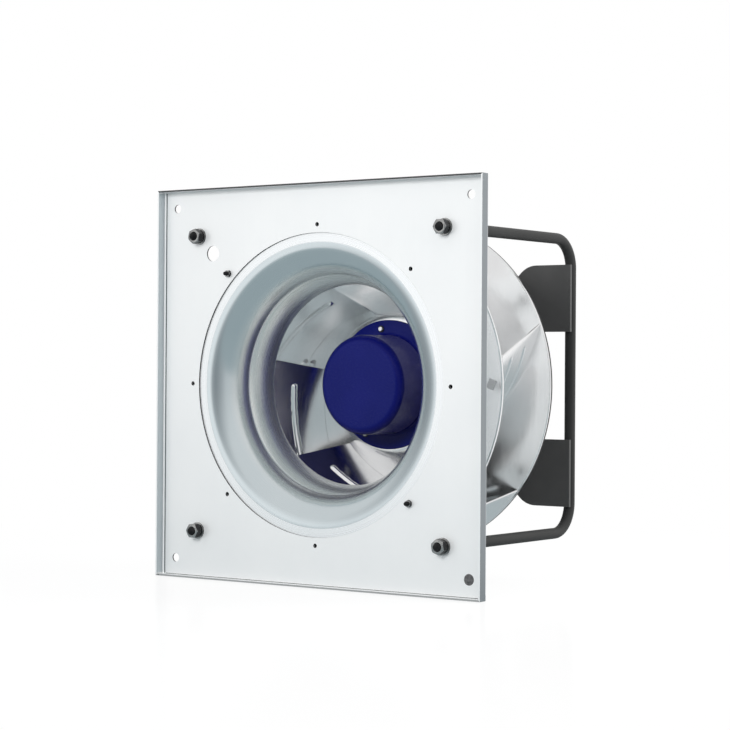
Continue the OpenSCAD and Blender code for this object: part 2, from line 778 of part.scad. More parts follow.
module rotor_screws() {
    color(steel) on_axis() ring_of(rotor_screw_count, rotor_screw_r, -rotor_screw_phase) {
        translate([0, 0, rotor_flange_z - rotor_screw_head_h]) difference() {
            cylinder(r = rotor_screw_head_d / 2, h = rotor_screw_head_h);
            translate([0, 0, -1]) hexagon(rotor_screw_d * 0.55, 1 + rotor_screw_head_h * 0.6);
        }
        translate([0, 0, rotor_flange_z - weld])
            cylinder(r = rotor_screw_d / 2, h = rotor_flange_sheet + back_sheet + 3);
        translate([0, 0, back_z + back_sheet]) hexagon(1.7 * rotor_screw_d, 0.7 * rotor_screw_d);
    }
}

// band of sheet along a cone, on the front or the back of the given line
module cone_band(r0, z0, r1, z1, sheet) {
    turn = atan2(z1 - z0, r1 - r0);
    polygon([[r0, z0], [r1, z1], [r1 - sheet * sin(turn), z1 + sheet * cos(turn)],
        [r0 - sheet * sin(turn), z0 + sheet * cos(turn)]]);
}

// spun shroud: a short collar, a bend, a shallow cone and a forward lip at the rim
module impeller_shroud() {
    bend_r = collar_r + shroud_bend;
    lip_r = impeller_r - shroud_sheet;
    color(aluminium) on_axis() rotate_extrude() polygon(concat(
        [[collar_r, collar_z]],
        arc_points(bend_r, shroud_bend_z, shroud_bend, 180, 90 + shroud_slope),
        [[impeller_r, shroud_rim_z], [impeller_r, shroud_rim_z - shroud_lip],
            [lip_r, shroud_rim_z - shroud_lip],
            [lip_r, shroud_rim_z - shroud_sheet * (tan(shroud_slope) + 1 / cos(shroud_slope))]],
        arc_points(bend_r, shroud_bend_z, shroud_bend - shroud_sheet, 90 + shroud_slope, 180),
        [[collar_r + shroud_sheet, collar_z]]));
}

module impeller_back_plate() {
    color(aluminium) on_axis() difference() {
        rotate_extrude() union() {
            translate([back_bore_r, back_z]) square([back_hub_r + weld - back_bore_r, back_sheet]);
            cone_band(back_hub_r, back_z, impeller_r - back_sheet / 2, back_rim_z, back_sheet);
            translate([impeller_r - back_sheet, back_rim_z]) square([back_sheet, back_lip]);
        }
        translate([0, 0, back_z - 1]) ring_of(rotor_screw_count, rotor_screw_r, -rotor_screw_phase)
            cylinder(r = (rotor_screw_d + hole_gap) / 2, h = back_sheet + 2);
    }
}

// space between shroud and back plate that a blade fills
module blade_space() {
    front_slope = tan(shroud_slope);
    back_slope = tan(back_turn);
    rotate_extrude() polygon([
        [blade_inner_r, back_z + (blade_inner_r - back_hub_r) * back_slope - blade_seat],
        [blade_tip_r, back_z + (blade_tip_r - back_hub_r) * back_slope - blade_seat],
        [blade_tip_r, shroud_cone_z + (blade_tip_r - shroud_cone_r) * front_slope + blade_seat],
        [shroud_cone_r, shroud_cone_z + blade_seat],
        [blade_front_r, blade_front_z],
        [blade_nose_r, blade_nose_z]]);
}

// leaning frame of a blade's curve
module blade_frame() {
    translate([blade_pole[0], blade_pole[1], blade_depth])
        rotate([0, blade_lean, blade_lean_dir]) children();
}

// ring section along the path of a bead, with round ends
module bead(place, r, ends) {
    half = place[2];
    slope = place[3];
    path_r = blade_radius / pow(cos(slope), 2);
    rotate([0, 0, place[0]]) translate([blade_radius - path_r, 0, place[1]])
        rotate([slope, 0, 0]) {
            rotate_extrude(angle = 2 * half, start = -half) translate([path_r, 0]) circle(r = r);
            for (a = [-half, half]) rotate([0, 0, a]) translate([path_r, 0, 0]) sphere(r = r + ends);
        }
}

module beads(r, ends) {
    bead(long_bead, r, ends);
    bead(short_bead, r, ends);
}

// one blade: a leaning curved sheet with two pressed beads, trimmed to the space between the discs
module blade(index) {
    blank = 2 * impeller_r;
    end_round = 0.15;
    color(aluminium) on_axis() rotate([0, 0, -index * 360 / blade_count]) intersection() {
        blade_space();
        blade_frame() difference() {
            union() {
                rotate_extrude(angle = blade_sweep, start = blade_start)
                    translate([blade_radius - blade_sheet / 2, -blank]) square([blade_sheet, 2 * blank]);
                intersection() {
                    beads(bead_r, end_round);
                    translate([0, 0, -blank])
                        cylinder(r = blade_radius + 0.15 * blade_sheet, h = 2 * blank);
                }
            }
            beads(bead_r - bead_sheet, end_round);
        }
    }
}

module blade_1() {
    blade(0);
}

module blade_2() {
    blade(1);
}

module blade_3() {
    blade(2);
}

module blade_4() {
    blade(3);
}

module blade_5() {
    blade(4);
}

module blade_6() {
    blade(5);
}

// bent ends of the blades, folded flat on the front of the shroud
module blade_tabs() {
    color(aluminium) on_axis() for (i = [0:blade_count - 1], r = tab_radii) {
        z = shroud_cone_z + (r - shroud_cone_r) * tan(shroud_slope) - shroud_sheet / cos(shroud_slope);
        run = r * (blade_angle(r - 1) - blade_angle(r + 1)) * PI / 180;
        rotate([0, 0, blade_angle(r) - i * 360 / blade_count]) translate([r, 0, z])
            rotate([0, -shroud_slope, 0]) rotate([0, 0, atan2(2, run)])
            translate([-tab_width / 2, -tab_length / 2, -tab_sheet - tab_seat])
            cube([tab_width, tab_length, tab_sheet]);
    }
}

mounting_plate();
inlet_nozzle();
nozzle_bolts();
nozzle_nuts();
support_bar_left();
support_bar_right();
bracket_washers();
bracket_spring_washers();
bracket_nuts();
motor_plate();
motor_plate_screws();
stator_flange();
stator_screws();
stator_core();
stator_windings();
front_bearing();
rear_bearing();
preload_spring();
electronics_housing();
circuit_board();
capacitors();
cover_gasket();
housing_cover();
cover_screws();
cable_gland_left();
cable_gland_right();
shaft();
shaft_circlip();
rotor_bell();
rotor_magnets();
rotor_screws();
impeller_shroud();
impeller_back_plate();
blade_1();
blade_2();
blade_3();
blade_4();
blade_5();
blade_6();
blade_tabs();
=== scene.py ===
"""Looks of the plug fan: smooth sheet forms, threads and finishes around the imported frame.

The fan axis is Y, the mounting plate's front face is Y = 0 and the inlet faces -Y. Shapes are worked out
in millimetres and put into the meshes in metres.
"""
import json
import math

import bpy
import numpy as np
from mathutils import Matrix, Vector


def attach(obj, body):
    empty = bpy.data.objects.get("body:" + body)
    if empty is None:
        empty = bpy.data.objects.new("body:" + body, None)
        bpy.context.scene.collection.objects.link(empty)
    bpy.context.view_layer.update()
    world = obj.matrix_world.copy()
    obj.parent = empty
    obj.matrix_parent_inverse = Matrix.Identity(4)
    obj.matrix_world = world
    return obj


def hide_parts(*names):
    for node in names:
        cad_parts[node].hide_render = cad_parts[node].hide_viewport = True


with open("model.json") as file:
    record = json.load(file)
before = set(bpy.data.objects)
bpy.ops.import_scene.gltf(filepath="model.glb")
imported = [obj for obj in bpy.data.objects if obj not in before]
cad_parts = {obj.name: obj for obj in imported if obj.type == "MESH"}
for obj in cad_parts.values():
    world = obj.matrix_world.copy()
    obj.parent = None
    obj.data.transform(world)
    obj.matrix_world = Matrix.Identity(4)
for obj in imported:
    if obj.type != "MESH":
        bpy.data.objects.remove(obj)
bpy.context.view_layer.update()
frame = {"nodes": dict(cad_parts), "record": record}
nodes = frame["nodes"]
scene = bpy.context.scene
MM = 0.001

# sizes of the fan in millimetres, as in the part's source
PLATE_SHEET, PLATE_HALF, FLANGE_DEPTH = 2.0, 250.0, 13.0
CORNER_HOLE = 226.5
BELL_FLAT_R, BELL_RADIUS, BELL_Z = 177.0, 38.0, 40.0
THROAT_R, THROAT_FLARE, THROAT_LENGTH, THROAT_Z = 127.0, 12.0, 37.0, 77.0
NOZZLE_SHEET, NOZZLE_OUTER_R, GUARD_R, GUARD_HOLE_R = 1.5, 207.0, 199.0, 2.75
GUARD_BOLT_ANGLES, GUARD_FREE_ANGLES = (135.0, -45.0), (0.0, 45.0, 90.0, 180.0, 225.0, 270.0)
NOZZLE_BACK = PLATE_SHEET + NOZZLE_SHEET
IMPELLER_R, COLLAR_R, COLLAR_Z, COLLAR_LIP = 215.0, 131.0, 65.0, 2.0
SHROUD_SHEET, SHROUD_BEND, SHROUD_SLOPE, SHROUD_LIP = 2.0, 12.0, 12.0, 4.0
OUTLET_WIDTH, BACK_SHEET, BACK_LIP, RIM_ROUND = 110.0, 2.0, 5.0, 1.5
ROTOR_R, ROTOR_FRONT_Z, ROTOR_EDGE, ROTOR_WALL = 64.0, 92.0, 10.0, 4.0
ROTOR_FLANGE_R, ROTOR_FLANGE_Z, BACK_Z, ROTOR_END_Z = 84.0, 154.0, 157.0, 196.0
ROTOR_SCREW_R, ROTOR_SCREW_PHASE = 73.0, 98.0
BLADE_POLE, BLADE_DEPTH, BLADE_R, BLADE_SHEET = np.array([-8.3, -132.6]), 200.0, 211.0, 2.0
BLADE_LEAN, BLADE_LEAN_DIR, BLADE_COUNT = math.radians(18.2), math.radians(-113.0), 6
BLADE_INNER_R, BLADE_SEAT, BLADE_NOSE_R, BLADE_NOSE_Z = 103.0, 0.2, 128.0, 80.5
# beads of a blade: middle angle, level, half length in degrees and slope
LONG_BEAD, SHORT_BEAD = (160.0, -140.4, 26.5, -9.7), (144.5, -86.5, 12.0, -4.0)
BEAD_RISE, BEAD_HALF = 3.1, 4.6
# angles in degrees and heights between which a blade's edges are looked for
BLADE_ANGLES, BLADE_HEIGHTS = (108.0, 203.0), (-330.0, 120.0)
BAR_R, BAR_PLACE, BAR_BEND, BAR_DEPTH = 7.0, 189.5, 38.0, 297.3
STUD_R, STUD_REACH = 5.0, 16.0
WASHER_R, WASHER_SHEET, SPRING_SHEET, NUT_AF, NUT_H = 10.5, 2.0, 2.5, 17.0, 8.0

SHROUD_TURN = math.radians(SHROUD_SLOPE)
SHROUD_BEND_Z = COLLAR_Z + COLLAR_LIP
SHROUD_CONE_R = COLLAR_R + SHROUD_BEND * (1 - math.sin(SHROUD_TURN))
SHROUD_CONE_Z = SHROUD_BEND_Z + SHROUD_BEND * math.cos(SHROUD_TURN)
SHROUD_RIM_Z = SHROUD_CONE_Z + (IMPELLER_R - SHROUD_CONE_R) * math.tan(SHROUD_TURN)
BACK_RIM_Z = SHROUD_RIM_Z + OUTLET_WIDTH
BACK_HUB_R = ROTOR_FLANGE_R + 4
BACK_SLOPE = (BACK_RIM_Z - BACK_Z) / (IMPELLER_R - BACK_HUB_R)

# where the plate's painted light and shade and the nozzle's tones, with the painted light on its flat rim, change,
# in metres, and how far the outermost edge of a disc is painted dark as painted shade
RIM_EDGE, FRONT_EDGE = (PLATE_HALF - 3.5) * MM, -(FLANGE_DEPTH - 0.9) * MM
BEND_EDGE, CREASE_FROM, CREASE_TO = (-(PLATE_HALF - inset) * MM for inset in (7.0, 3.7, 5.6))
THROAT_TONE, FLAT_TONE = (0.1405, 0.150), (0.1765, 0.1785)
SHADE_RIM = 2.5
SHADE_RIM_DEPTHS = [
    (SHROUD_RIM_Z - 1.4, SHROUD_RIM_Z + 1.0), (BACK_RIM_Z + BACK_LIP - 3.4, BACK_RIM_Z + BACK_LIP + 1.0)]

# painted light and shade on the plate's edges, each laid over those before it: the side flanges greyer and the
# right one darker as painted shade, the level flanges back to the plate's pale tone as painted light, the front
# edges, lower fold, crease and cut walls dark as painted shade, and the bend at the left bright as a painted
# highlight; then the share of the front edge's painted shade below
PLATE_PAINTED_LIGHT_AND_SHADE = [
    ("Flange", (0.56, 0.615, 0.64)), ("Level", (0.86, 0.87, 0.87)), ("Right", (0.25, 0.27, 0.285)),
    ("Lip", (0.06, 0.06, 0.062)), ("Fold", (0.07, 0.075, 0.08)), ("Bend", (0.96, 0.97, 0.97)),
    ("Crease", (0.10, 0.115, 0.125)), ("Cut", (0.03, 0.031, 0.033))]
LOWER_LIP = 0.6
# bright sheet of the impeller: two tones, roughness, scale of its clouds and strength of its scratches
BRIGHT_SHEET = ((0.90, 0.902, 0.906), (0.95, 0.952, 0.955), (0.15, 0.22), 16.0, 0.05)
# depth of fine relief in metres, and how much finer a speckle is than its clouds
RELIEF, SPECKLE_FINER = 0.0002, 60.0

# studio: half the floor's side in metres, and the level of the surround at each azimuth, 0 being in front
FLOOR_HALF, WHITE = 30.0, (1.0, 1.0, 1.0)
SURROUND = [
    (-180, 1.0), (-150, 0.92), (-125, 0.50), (-112, 0.38), (-75, 0.32), (-60, 0.38), (-50, 0.50), (-43, 0.70),
    (-37, 0.98), (-26, 1.0), (-18, 0.48), (-9, 0.31), (2, 0.30), (20, 0.42), (40, 0.62), (60, 0.64), (76, 0.62),
    (92, 0.56), (118, 0.66), (135, 0.90), (150, 1.0), (180, 1.0)]


# node helpers

class Wiring:
    """A node tree under construction. The values given to it are sockets, plain numbers or colours."""

    def __init__(self, tree):
        self.tree = tree
        tree.nodes.clear()

    def give(self, value, socket):
        """Links a value to an input, or sets it there."""
        if isinstance(value, bpy.types.NodeSocket):
            self.tree.links.new(value, socket)
        else:
            socket.default_value = (*value, 1.0) if socket.type == "RGBA" else value

    def fill(self, made, *values):
        """Gives values to the first inputs of a node, in order, and returns its first output."""
        for value, socket in zip(values, made.inputs):
            self.give(value, socket)
        return made.outputs[0]

    def add(self, kind, **values):
        """Adds a node; keywords are its attributes, or its inputs with _ for each space."""
        made = self.tree.nodes.new("ShaderNode" + kind)
        for key, value in values.items():
            if hasattr(made, key):
                setattr(made, key, value)
            else:
                self.give(value, made.inputs[key.replace("_", " ")])
        return made

    def math(self, operation, *values):
        """Result of a Math node."""
        return self.fill(self.add("Math", operation=operation), *values)

    def times(self, first, second):
        """First times second."""
        return self.math("MULTIPLY", first, second)

    def plus(self, first, second):
        """First plus second."""
        return self.math("ADD", first, second)

    def minus(self, first, second):
        """First less second."""
        return self.math("SUBTRACT", first, second)

    def above(self, value, limit):
        """1 where the value is above the limit, else 0."""
        return self.math("GREATER_THAN", value, limit)

    def below(self, value, limit):
        """1 where the value is below the limit, else 0."""
        return self.math("LESS_THAN", value, limit)

    def span(self, value, low, high, start=0.25, stop=0.75):
        """Goes evenly from low to high while the value goes from start to stop."""
        return self.add("MapRange", Value=value, From_Min=start, From_Max=stop, To_Min=low, To_Max=high).outputs[0]

    def noise(self, vector, scale, detail, roughness=0.5):
        """Cloudy noise from 0 to 1."""
        return self.add("TexNoise", noise_dimensions="3D", Vector=vector, Scale=scale, Detail=detail,
                        Roughness=roughness).outputs[0]

    def split(self, vector):
        """The x, y and z of a vector."""
        return tuple(self.add("SeparateXYZ", Vector=vector).outputs)

    def mix(self, mask, base, colour):
        """Goes from the base to another colour with the mask."""
        made = self.add("Mix", data_type="RGBA")
        for socket, value in ((0, mask), (6, base), (7, colour)):
            self.give(value, made.inputs[socket])
        return made.outputs[2]

    def mix_shaders(self, share, first, second):
        """Goes from the first shader to the second with the share."""
        return self.fill(self.add("MixShader"), share, first, second)

    def white_rays(self, path, behind):
        """1 for rays that see the white background: those of the camera and through glass, and mirror rays
        that look behind the fan."""
        shown = self.times(path["Is Glossy Ray"], behind)
        for ray in ("Is Camera Ray", "Is Transmission Ray"):
            shown = self.math("MAXIMUM", shown, path[ray])
        return shown


# shared effects

def effect(name, outputs, vectors=("Vector",), **numbers):
    """Starts a shared effect: a node group with vector and number inputs, and number outputs."""
    group = bpy.data.node_groups.new(name, "ShaderNodeTree")
    wires = Wiring(group)
    for socket in vectors:
        group.interface.new_socket(name=socket, in_out="INPUT", socket_type="NodeSocketVector")
    for socket, value in numbers.items():
        made = group.interface.new_socket(name=socket, in_out="INPUT", socket_type="NodeSocketFloat")
        made.default_value = value
    for socket in outputs:
        group.interface.new_socket(name=socket, in_out="OUTPUT", socket_type="NodeSocketFloat")
    return wires, group.nodes.new("NodeGroupInput").outputs


def close_effect(wires, **results):
    """Links the results of a shared effect to its outputs."""
    outlet = wires.tree.nodes.new("NodeGroupOutput")
    for name, value in results.items():
        wires.give(value, outlet.inputs[name])
    return wires.tree


def make_turned_lines():
    """Fine rings round the fan axis, as a spinning tool leaves them: noise over radius and depth only."""
    wires, given = effect("turned_lines", ["Mask", "Radius"], Scale=900.0)
    x, y, z = wires.split(given["Vector"])
    radius = wires.math("SQRT", wires.plus(wires.times(x, x), wires.times(z, z)))
    ring = wires.add("CombineXYZ", X=radius, Y=y).outputs[0]
    return close_effect(wires, Mask=wires.noise(ring, given["Scale"], 3.0, 0.6), Radius=radius)


def make_rolled_grain():
    """Long faint streaks of rolled sheet: noise squeezed along the rolling direction."""
    wires, given = effect("rolled_grain", ["Mask"], Along=3.0, Across=500.0)
    x, y, z = wires.split(given["Vector"])
    squeezed = wires.add("CombineXYZ", X=wires.times(x, given["Across"]), Y=wires.times(y, given["Across"]),
                         Z=wires.times(z, given["Along"])).outputs[0]
    return close_effect(wires, Mask=wires.noise(squeezed, 1.0, 2.0, 0.55))


def make_mottle():
    """Soft cloudy patches and a fine speckle on top of them."""
    wires, given = effect("mottle", ["Cloud", "Speckle"], Scale=14.0)
    cloud = wires.noise(given["Vector"], given["Scale"], 3.0)
    fine = wires.times(given["Scale"], SPECKLE_FINER)
    return close_effect(wires, Cloud=cloud, Speckle=wires.noise(given["Vector"], fine, 2.0, 0.6))


def make_scuffs():
    """Sparse thin scratches: narrow bands where a stretched noise crosses its middle value."""
    wires, given = effect("scuffs", ["Mask"], Scale=60.0)
    stretched = wires.add("Mapping", Vector=given["Vector"], Rotation=(0.4, 0.9, 0.3),
                          Scale=(1.0, 0.12, 0.5)).outputs[0]
    off = wires.math("ABSOLUTE", wires.minus(wires.noise(stretched, given["Scale"], 2.0), 0.5))
    thin = wires.span(off, 1.0, 0.0, 0.0, 0.006)
    patches = wires.span(wires.noise(given["Vector"], 9.0, 1.0), 0.0, 1.0, 0.56, 0.68)
    return close_effect(wires, Mask=wires.times(thin, patches))


def make_sheet_edges():
    """Masks of a folded sheet square to Y: its rim flanges, of these the right one and the level ones, the
    front edges of the level ones (fainter below), the fold below, the bend at the left and the crease beside
    it, and the cut walls of its holes and opening."""
    wires, given = effect(
        "sheet_edges", ["Flange", "Right", "Level", "Lip", "Fold", "Bend", "Crease", "Cut"],
        ("Vector", "Normal"), Rim=RIM_EDGE)
    times, above, below, limit = wires.times, wires.above, wires.below, given["Rim"]
    x, y, z = wires.split(given["Vector"])
    facing = wires.split(given["Normal"])[1]
    ahead, wide, tall = (wires.math("ABSOLUTE", value) for value in (facing, x, z))
    side = wires.span(ahead, 1.0, 0.0, 0.1, 0.35)
    rim = above(wires.math("MAXIMUM", wide, tall), limit)
    lips = wires.plus(above(z, wide), times(above(times(z, -1.0), wide), LOWER_LIP))
    bent = times(above(ahead, 0.2), below(ahead, 0.8))
    beside = times(above(x, CREASE_FROM), below(x, CREASE_TO))
    return close_effect(
        wires, Flange=times(side, rim), Right=times(side, above(x, limit)), Level=times(side, above(tall, limit)),
        Lip=times(below(y, FRONT_EDGE), lips), Fold=times(bent, below(z, BEND_EDGE)),
        Bend=times(bent, below(x, BEND_EDGE)), Crease=times(beside, below(facing, -0.8)),
        Cut=times(side, wires.minus(1.0, rim)))


def make_turned_faces():
    """Masks of a turned part by its normal: the flank that looks away from Y, and the round edge before it."""
    wires, given = effect("turned_faces", ["Side", "Round"], ("Vector", "Normal"))
    ahead = wires.math("ABSOLUTE", wires.split(given["Normal"])[1])
    side = wires.span(ahead, 1.0, 0.0, 0.05, 0.30)
    bent = wires.span(ahead, 1.0, 0.0, 0.93, 0.995)
    return close_effect(wires, Side=side, Round=wires.minus(bent, side))


turned_lines = make_turned_lines()
rolled_grain = make_rolled_grain()
mottle = make_mottle()
scuffs = make_scuffs()
sheet_edges = make_sheet_edges()
turned_faces = make_turned_faces()


# finishes

class Finish(Wiring):
    """A material under construction: one Principled shader and the nodes that feed it."""

    def __init__(self, name, **sockets):
        self.material = bpy.data.materials.new(name)
        self.material.use_nodes = True
        super().__init__(self.material.node_tree)
        self.shader = self.add("BsdfPrincipled", **sockets)
        self.add("OutputMaterial", Surface=self.shader.outputs[0])
        coordinates = self.add("TexCoord").outputs
        self.place, self.normal = coordinates["Object"], coordinates["Normal"]

    def pattern(self, group, **values):
        """Places a shared effect on Object coordinates and returns its outputs."""
        made = self.add("Group", node_tree=group, Vector=self.place, **values)
        if "Normal" in made.inputs:
            self.give(self.normal, made.inputs["Normal"])
        return made.outputs

    def cloudy(self, cloud, low, high, start=0.3, stop=0.7):
        """Colour that goes from low to high with a cloudy value."""
        return self.mix(self.span(cloud, 0.0, 1.0, start, stop), low, high)

    def feed(self, **values):
        """Gives values to the shader's inputs."""
        for key, value in values.items():
            self.give(value, self.shader.inputs[key.replace("_", " ")])

    def bump(self, height, strength):
        """Fine relief in the surface."""
        made = self.add("Bump", Strength=strength, Distance=RELIEF, Height=height)
        self.feed(Normal=made.outputs[0])

    def speckled(self, speckle, rough, strength):
        """Roughness and fine relief from one speckle; returns the finished material."""
        self.feed(Roughness=self.span(speckle, *rough))
        self.bump(speckle, strength)
        return self.material


def plate_metal(name):
    """Galvanised plate: pale satin face, with painted light and shade on its edges: the folded side flanges painted
    greyer as painted shade, a painted highlight on the bend at the left with a painted shade line beside it, and
    the front edges, lower fold and cut walls painted dark as painted shade."""
    made = Finish(name, Metallic=0.45)
    cloud = made.pattern(mottle, Scale=9.0)["Cloud"]
    streak = made.pattern(rolled_grain, Along=4.0, Across=420.0)["Mask"]
    edges = made.pattern(sheet_edges)
    colour = made.cloudy(cloud, (0.835, 0.85, 0.855), (0.87, 0.88, 0.88), 0.25, 0.75)
    # painted light and shade on the plate's edges, laid over its face one by one
    for place, tone in PLATE_PAINTED_LIGHT_AND_SHADE:
        colour = made.mix(edges[place], colour, tone)
    made.feed(Base_Color=colour)
    return made.speckled(streak, (0.36, 0.44), 0.02)


def sheet_metal(name, low, high, rough, cloud_scale, marks, shade_rims=()):
    """Bright rolled sheet: cloudy tone, streaked roughness and a few fine scratches. Shade rims are ranges of depth
    in which the outermost edge of a disc is painted dark: painted shade under the disc's rim."""
    made = Finish(name, Metallic=1.0)
    cloud = made.pattern(mottle, Scale=cloud_scale)["Cloud"]
    streak = made.pattern(rolled_grain, Along=6.0, Across=300.0)["Mask"]
    mark = made.pattern(scuffs)["Mask"]
    colour = made.cloudy(cloud, low, high, 0.25, 0.75)
    # painted shade: the outermost edge of a disc is painted near black within each range of depth
    if shade_rims:
        outermost = made.above(made.pattern(turned_lines)["Radius"], (IMPELLER_R - SHADE_RIM) * MM)
        depth = made.split(made.place)[1]
    for first, last in shade_rims:
        inside = made.times(made.above(depth, first * MM), made.below(depth, last * MM))
        colour = made.mix(made.times(inside, outermost), colour, (0.03, 0.03, 0.032))
    made.feed(Base_Color=colour, Roughness=made.plus(made.span(streak, *rough), made.times(mark, marks)))
    made.bump(streak, 0.03)
    return made.material


def spun_metal(name, low, high, rough):
    """Spun sheet: rings round the axis in tone, roughness and height. The throat is a little greyer and duller, and
    the flat rim is painted paler and less metallic, as painted light."""
    made = Finish(name)
    ring = made.pattern(turned_lines, Scale=900.0)
    cloud = made.pattern(mottle, Scale=12.0)["Cloud"]
    mark = made.pattern(scuffs, Scale=45.0)["Mask"]
    throat = made.span(ring["Radius"], 1.0, 0.0, *THROAT_TONE)
    # painted light: the flat rim is painted paler and made less metallic
    rim = made.span(ring["Radius"], 0.0, 1.0, *FLAT_TONE)
    mixed = made.plus(made.times(ring["Mask"], 0.5), made.times(cloud, 0.5))
    colour = made.mix(throat, made.cloudy(mixed, low, high), (0.78, 0.81, 0.80))
    worn = made.plus(made.span(ring["Mask"], *rough), made.times(mark, 0.03))
    duller = made.plus(made.times(throat, 0.10), made.times(rim, 0.10))
    less_metal = made.plus(made.times(throat, -0.12), made.times(rim, -0.40))
    made.feed(Base_Color=made.mix(rim, colour, (0.88, 0.90, 0.91)), Roughness=made.plus(worn, duller),
              Metallic=made.plus(less_metal, 1.0))
    made.bump(ring["Mask"], 0.05)
    return made.material


def powder_coat(name, low, high, grain=1500.0, gloss=0.3):
    """Powder coat: fine orange peel, cloudy tone and slightly uneven gloss."""
    made = Finish(name, Specular_IOR_Level=gloss)
    cloud = made.pattern(mottle, Scale=18.0)["Cloud"]
    peel = made.pattern(mottle, Scale=grain / SPECKLE_FINER)["Speckle"]
    made.feed(Base_Color=made.cloudy(cloud, low, high))
    return made.speckled(peel, (0.45, 0.6), 0.12)


def plain_part(name, low, high, rough, metal, scale):
    """Cast, moulded or plated small part: cloudy tone with speckled roughness."""
    made = Finish(name, Metallic=metal)
    tone = made.pattern(mottle, Scale=scale)
    made.feed(Base_Color=made.cloudy(tone["Cloud"], low, high))
    return made.speckled(tone["Speckle"], rough, 0.10)


def rotor_paint(name, low, high, edge, flank, rough, gloss):
    """Satin paint of a turned part: cloudy tone on the faces, painted darker on the round edge as painted shade,
    and painted greyer on the flank as a painted reflection.
    """
    made = Finish(name, Specular_IOR_Level=gloss)
    tone = made.pattern(mottle, Scale=18.0)
    parts = made.pattern(turned_faces)
    face = made.mix(parts["Round"], made.cloudy(tone["Cloud"], low, high), edge)
    made.feed(Base_Color=made.mix(parts["Side"], face, flank))
    return made.speckled(tone["Speckle"], rough, 0.08)


def plated_part(name, flank, low, high, rough):
    """Plated nut, washer or bolt: flanks painted dark as painted shade, and pale cloudy end faces square to Y."""
    made = Finish(name, Metallic=1.0)
    tone = made.pattern(mottle, Scale=90.0)
    sides = made.pattern(sheet_edges, Rim=0.0)["Flange"]
    made.feed(Base_Color=made.mix(sides, made.cloudy(tone["Cloud"], low, high), flank))
    return made.speckled(tone["Speckle"], rough, 0.10)


finishes = {
    "plate_steel": plate_metal("plate_sheet"),
    "nozzle_steel": spun_metal("nozzle_spun", (0.62, 0.69, 0.72), (0.69, 0.75, 0.77), (0.15, 0.21)),
    "impeller_aluminium": sheet_metal("impeller_sheet", *BRIGHT_SHEET),
    "frame_coat": powder_coat("frame_powder", (0.036, 0.036, 0.0355), (0.044, 0.044, 0.0435), gloss=0.14),
    # the rotor's edge tone is painted shade and its flank tone a painted reflection
    "rotor_paint": rotor_paint(
        "rotor_blue", (0.003, 0.006, 0.095), (0.005, 0.008, 0.113), edge=(0.0015, 0.003, 0.088),
        flank=(0.055, 0.055, 0.19), rough=(0.22, 0.3), gloss=0.13),
    # the dark flank tone of nuts and washers is painted shade
    "fastener_steel": plated_part(
        "fastener_zinc", (0.032, 0.032, 0.034), (0.34, 0.34, 0.336), (0.48, 0.48, 0.475), (0.18, 0.3)),
    "bright_steel": plain_part("bright_steel", (0.66, 0.67, 0.68), (0.78, 0.79, 0.80), (0.18, 0.32), 1.0, 60.0),
    "cast_aluminium": plain_part("cast_grey", (0.50, 0.51, 0.52), (0.60, 0.61, 0.62), (0.45, 0.6), 1.0, 50.0),
    "housing_coat": powder_coat("housing_black", (0.022, 0.022, 0.024), (0.032, 0.032, 0.034), 900.0),
    "winding_copper": plain_part("winding_copper", (0.45, 0.20, 0.08), (0.62, 0.30, 0.13), (0.3, 0.5), 1.0, 80.0),
    "magnet_iron": plain_part("magnet_grey", (0.05, 0.05, 0.055), (0.08, 0.08, 0.085), (0.5, 0.7), 0.6, 60.0),
    "board_laminate": plain_part("board_green", (0.012, 0.075, 0.03), (0.02, 0.10, 0.04), (0.35, 0.5), 0.0, 60.0),
    "black_plastic": plain_part(
        "moulded_black", (0.012, 0.012, 0.013), (0.02, 0.02, 0.021), (0.45, 0.6), 0.0, 50.0),
    "black_rubber": plain_part(
        "rubber_black", (0.010, 0.010, 0.010), (0.016, 0.016, 0.016), (0.6, 0.8), 0.0, 50.0),
}
own_finishes = {
    # the motor plate has the bars' powder coat, here painted lighter as painted light on the plate, which sits in
    # the impeller's shade
    "motor_plate": powder_coat("plate_powder_painted_light", (0.088, 0.088, 0.0875), (0.102, 0.102, 0.1015), gloss=0.2),
    "blade_tabs": sheet_metal("tab_sheet", (0.50, 0.50, 0.505), (0.60, 0.60, 0.605), (0.28, 0.36), 40.0, 0.06),
}
thread_black = plain_part("thread_black", (0.02, 0.02, 0.021), (0.045, 0.045, 0.047), (0.3, 0.5), 1.0, 90.0)
# the rotor screws' heads are painted pale and only partly metallic, as painted light
screw_bright = plain_part("screw_bright", (0.84, 0.84, 0.83), (0.93, 0.93, 0.92), (0.2, 0.3), 0.35, 300.0)
plug_grey = plain_part("plug_grey", (0.045, 0.045, 0.047), (0.13, 0.13, 0.132), (0.35, 0.5), 0.0, 300.0)
# the discs' sheet, with painted shade along the outermost edge of each rim
disc_sheet = sheet_metal("disc_sheet", *BRIGHT_SHEET, SHADE_RIM_DEPTHS)

for part in frame["record"]["subparts"]:
    for place in nodes[part["node"]].material_slots:
        place.material = own_finishes.get(part["node"], finishes[part["material_slot"]])


# surfaces

WELD_CELLS = 2e4  # cells to a millimetre, inside which points are one


def grid_quads(rows, cols, wrap_rows=False, wrap_cols=True):
    """Corner numbers of the quads between neighbours on a rows by cols grid."""
    r = np.arange(rows if wrap_rows else rows - 1)[:, None]
    c = np.arange(cols if wrap_cols else cols - 1)[None, :]
    below, beside = (r + 1) % rows, (c + 1) % cols
    corners = np.stack([r * cols + c, below * cols + c, below * cols + beside, r * cols + beside], -1)
    return corners.reshape(-1, 4)


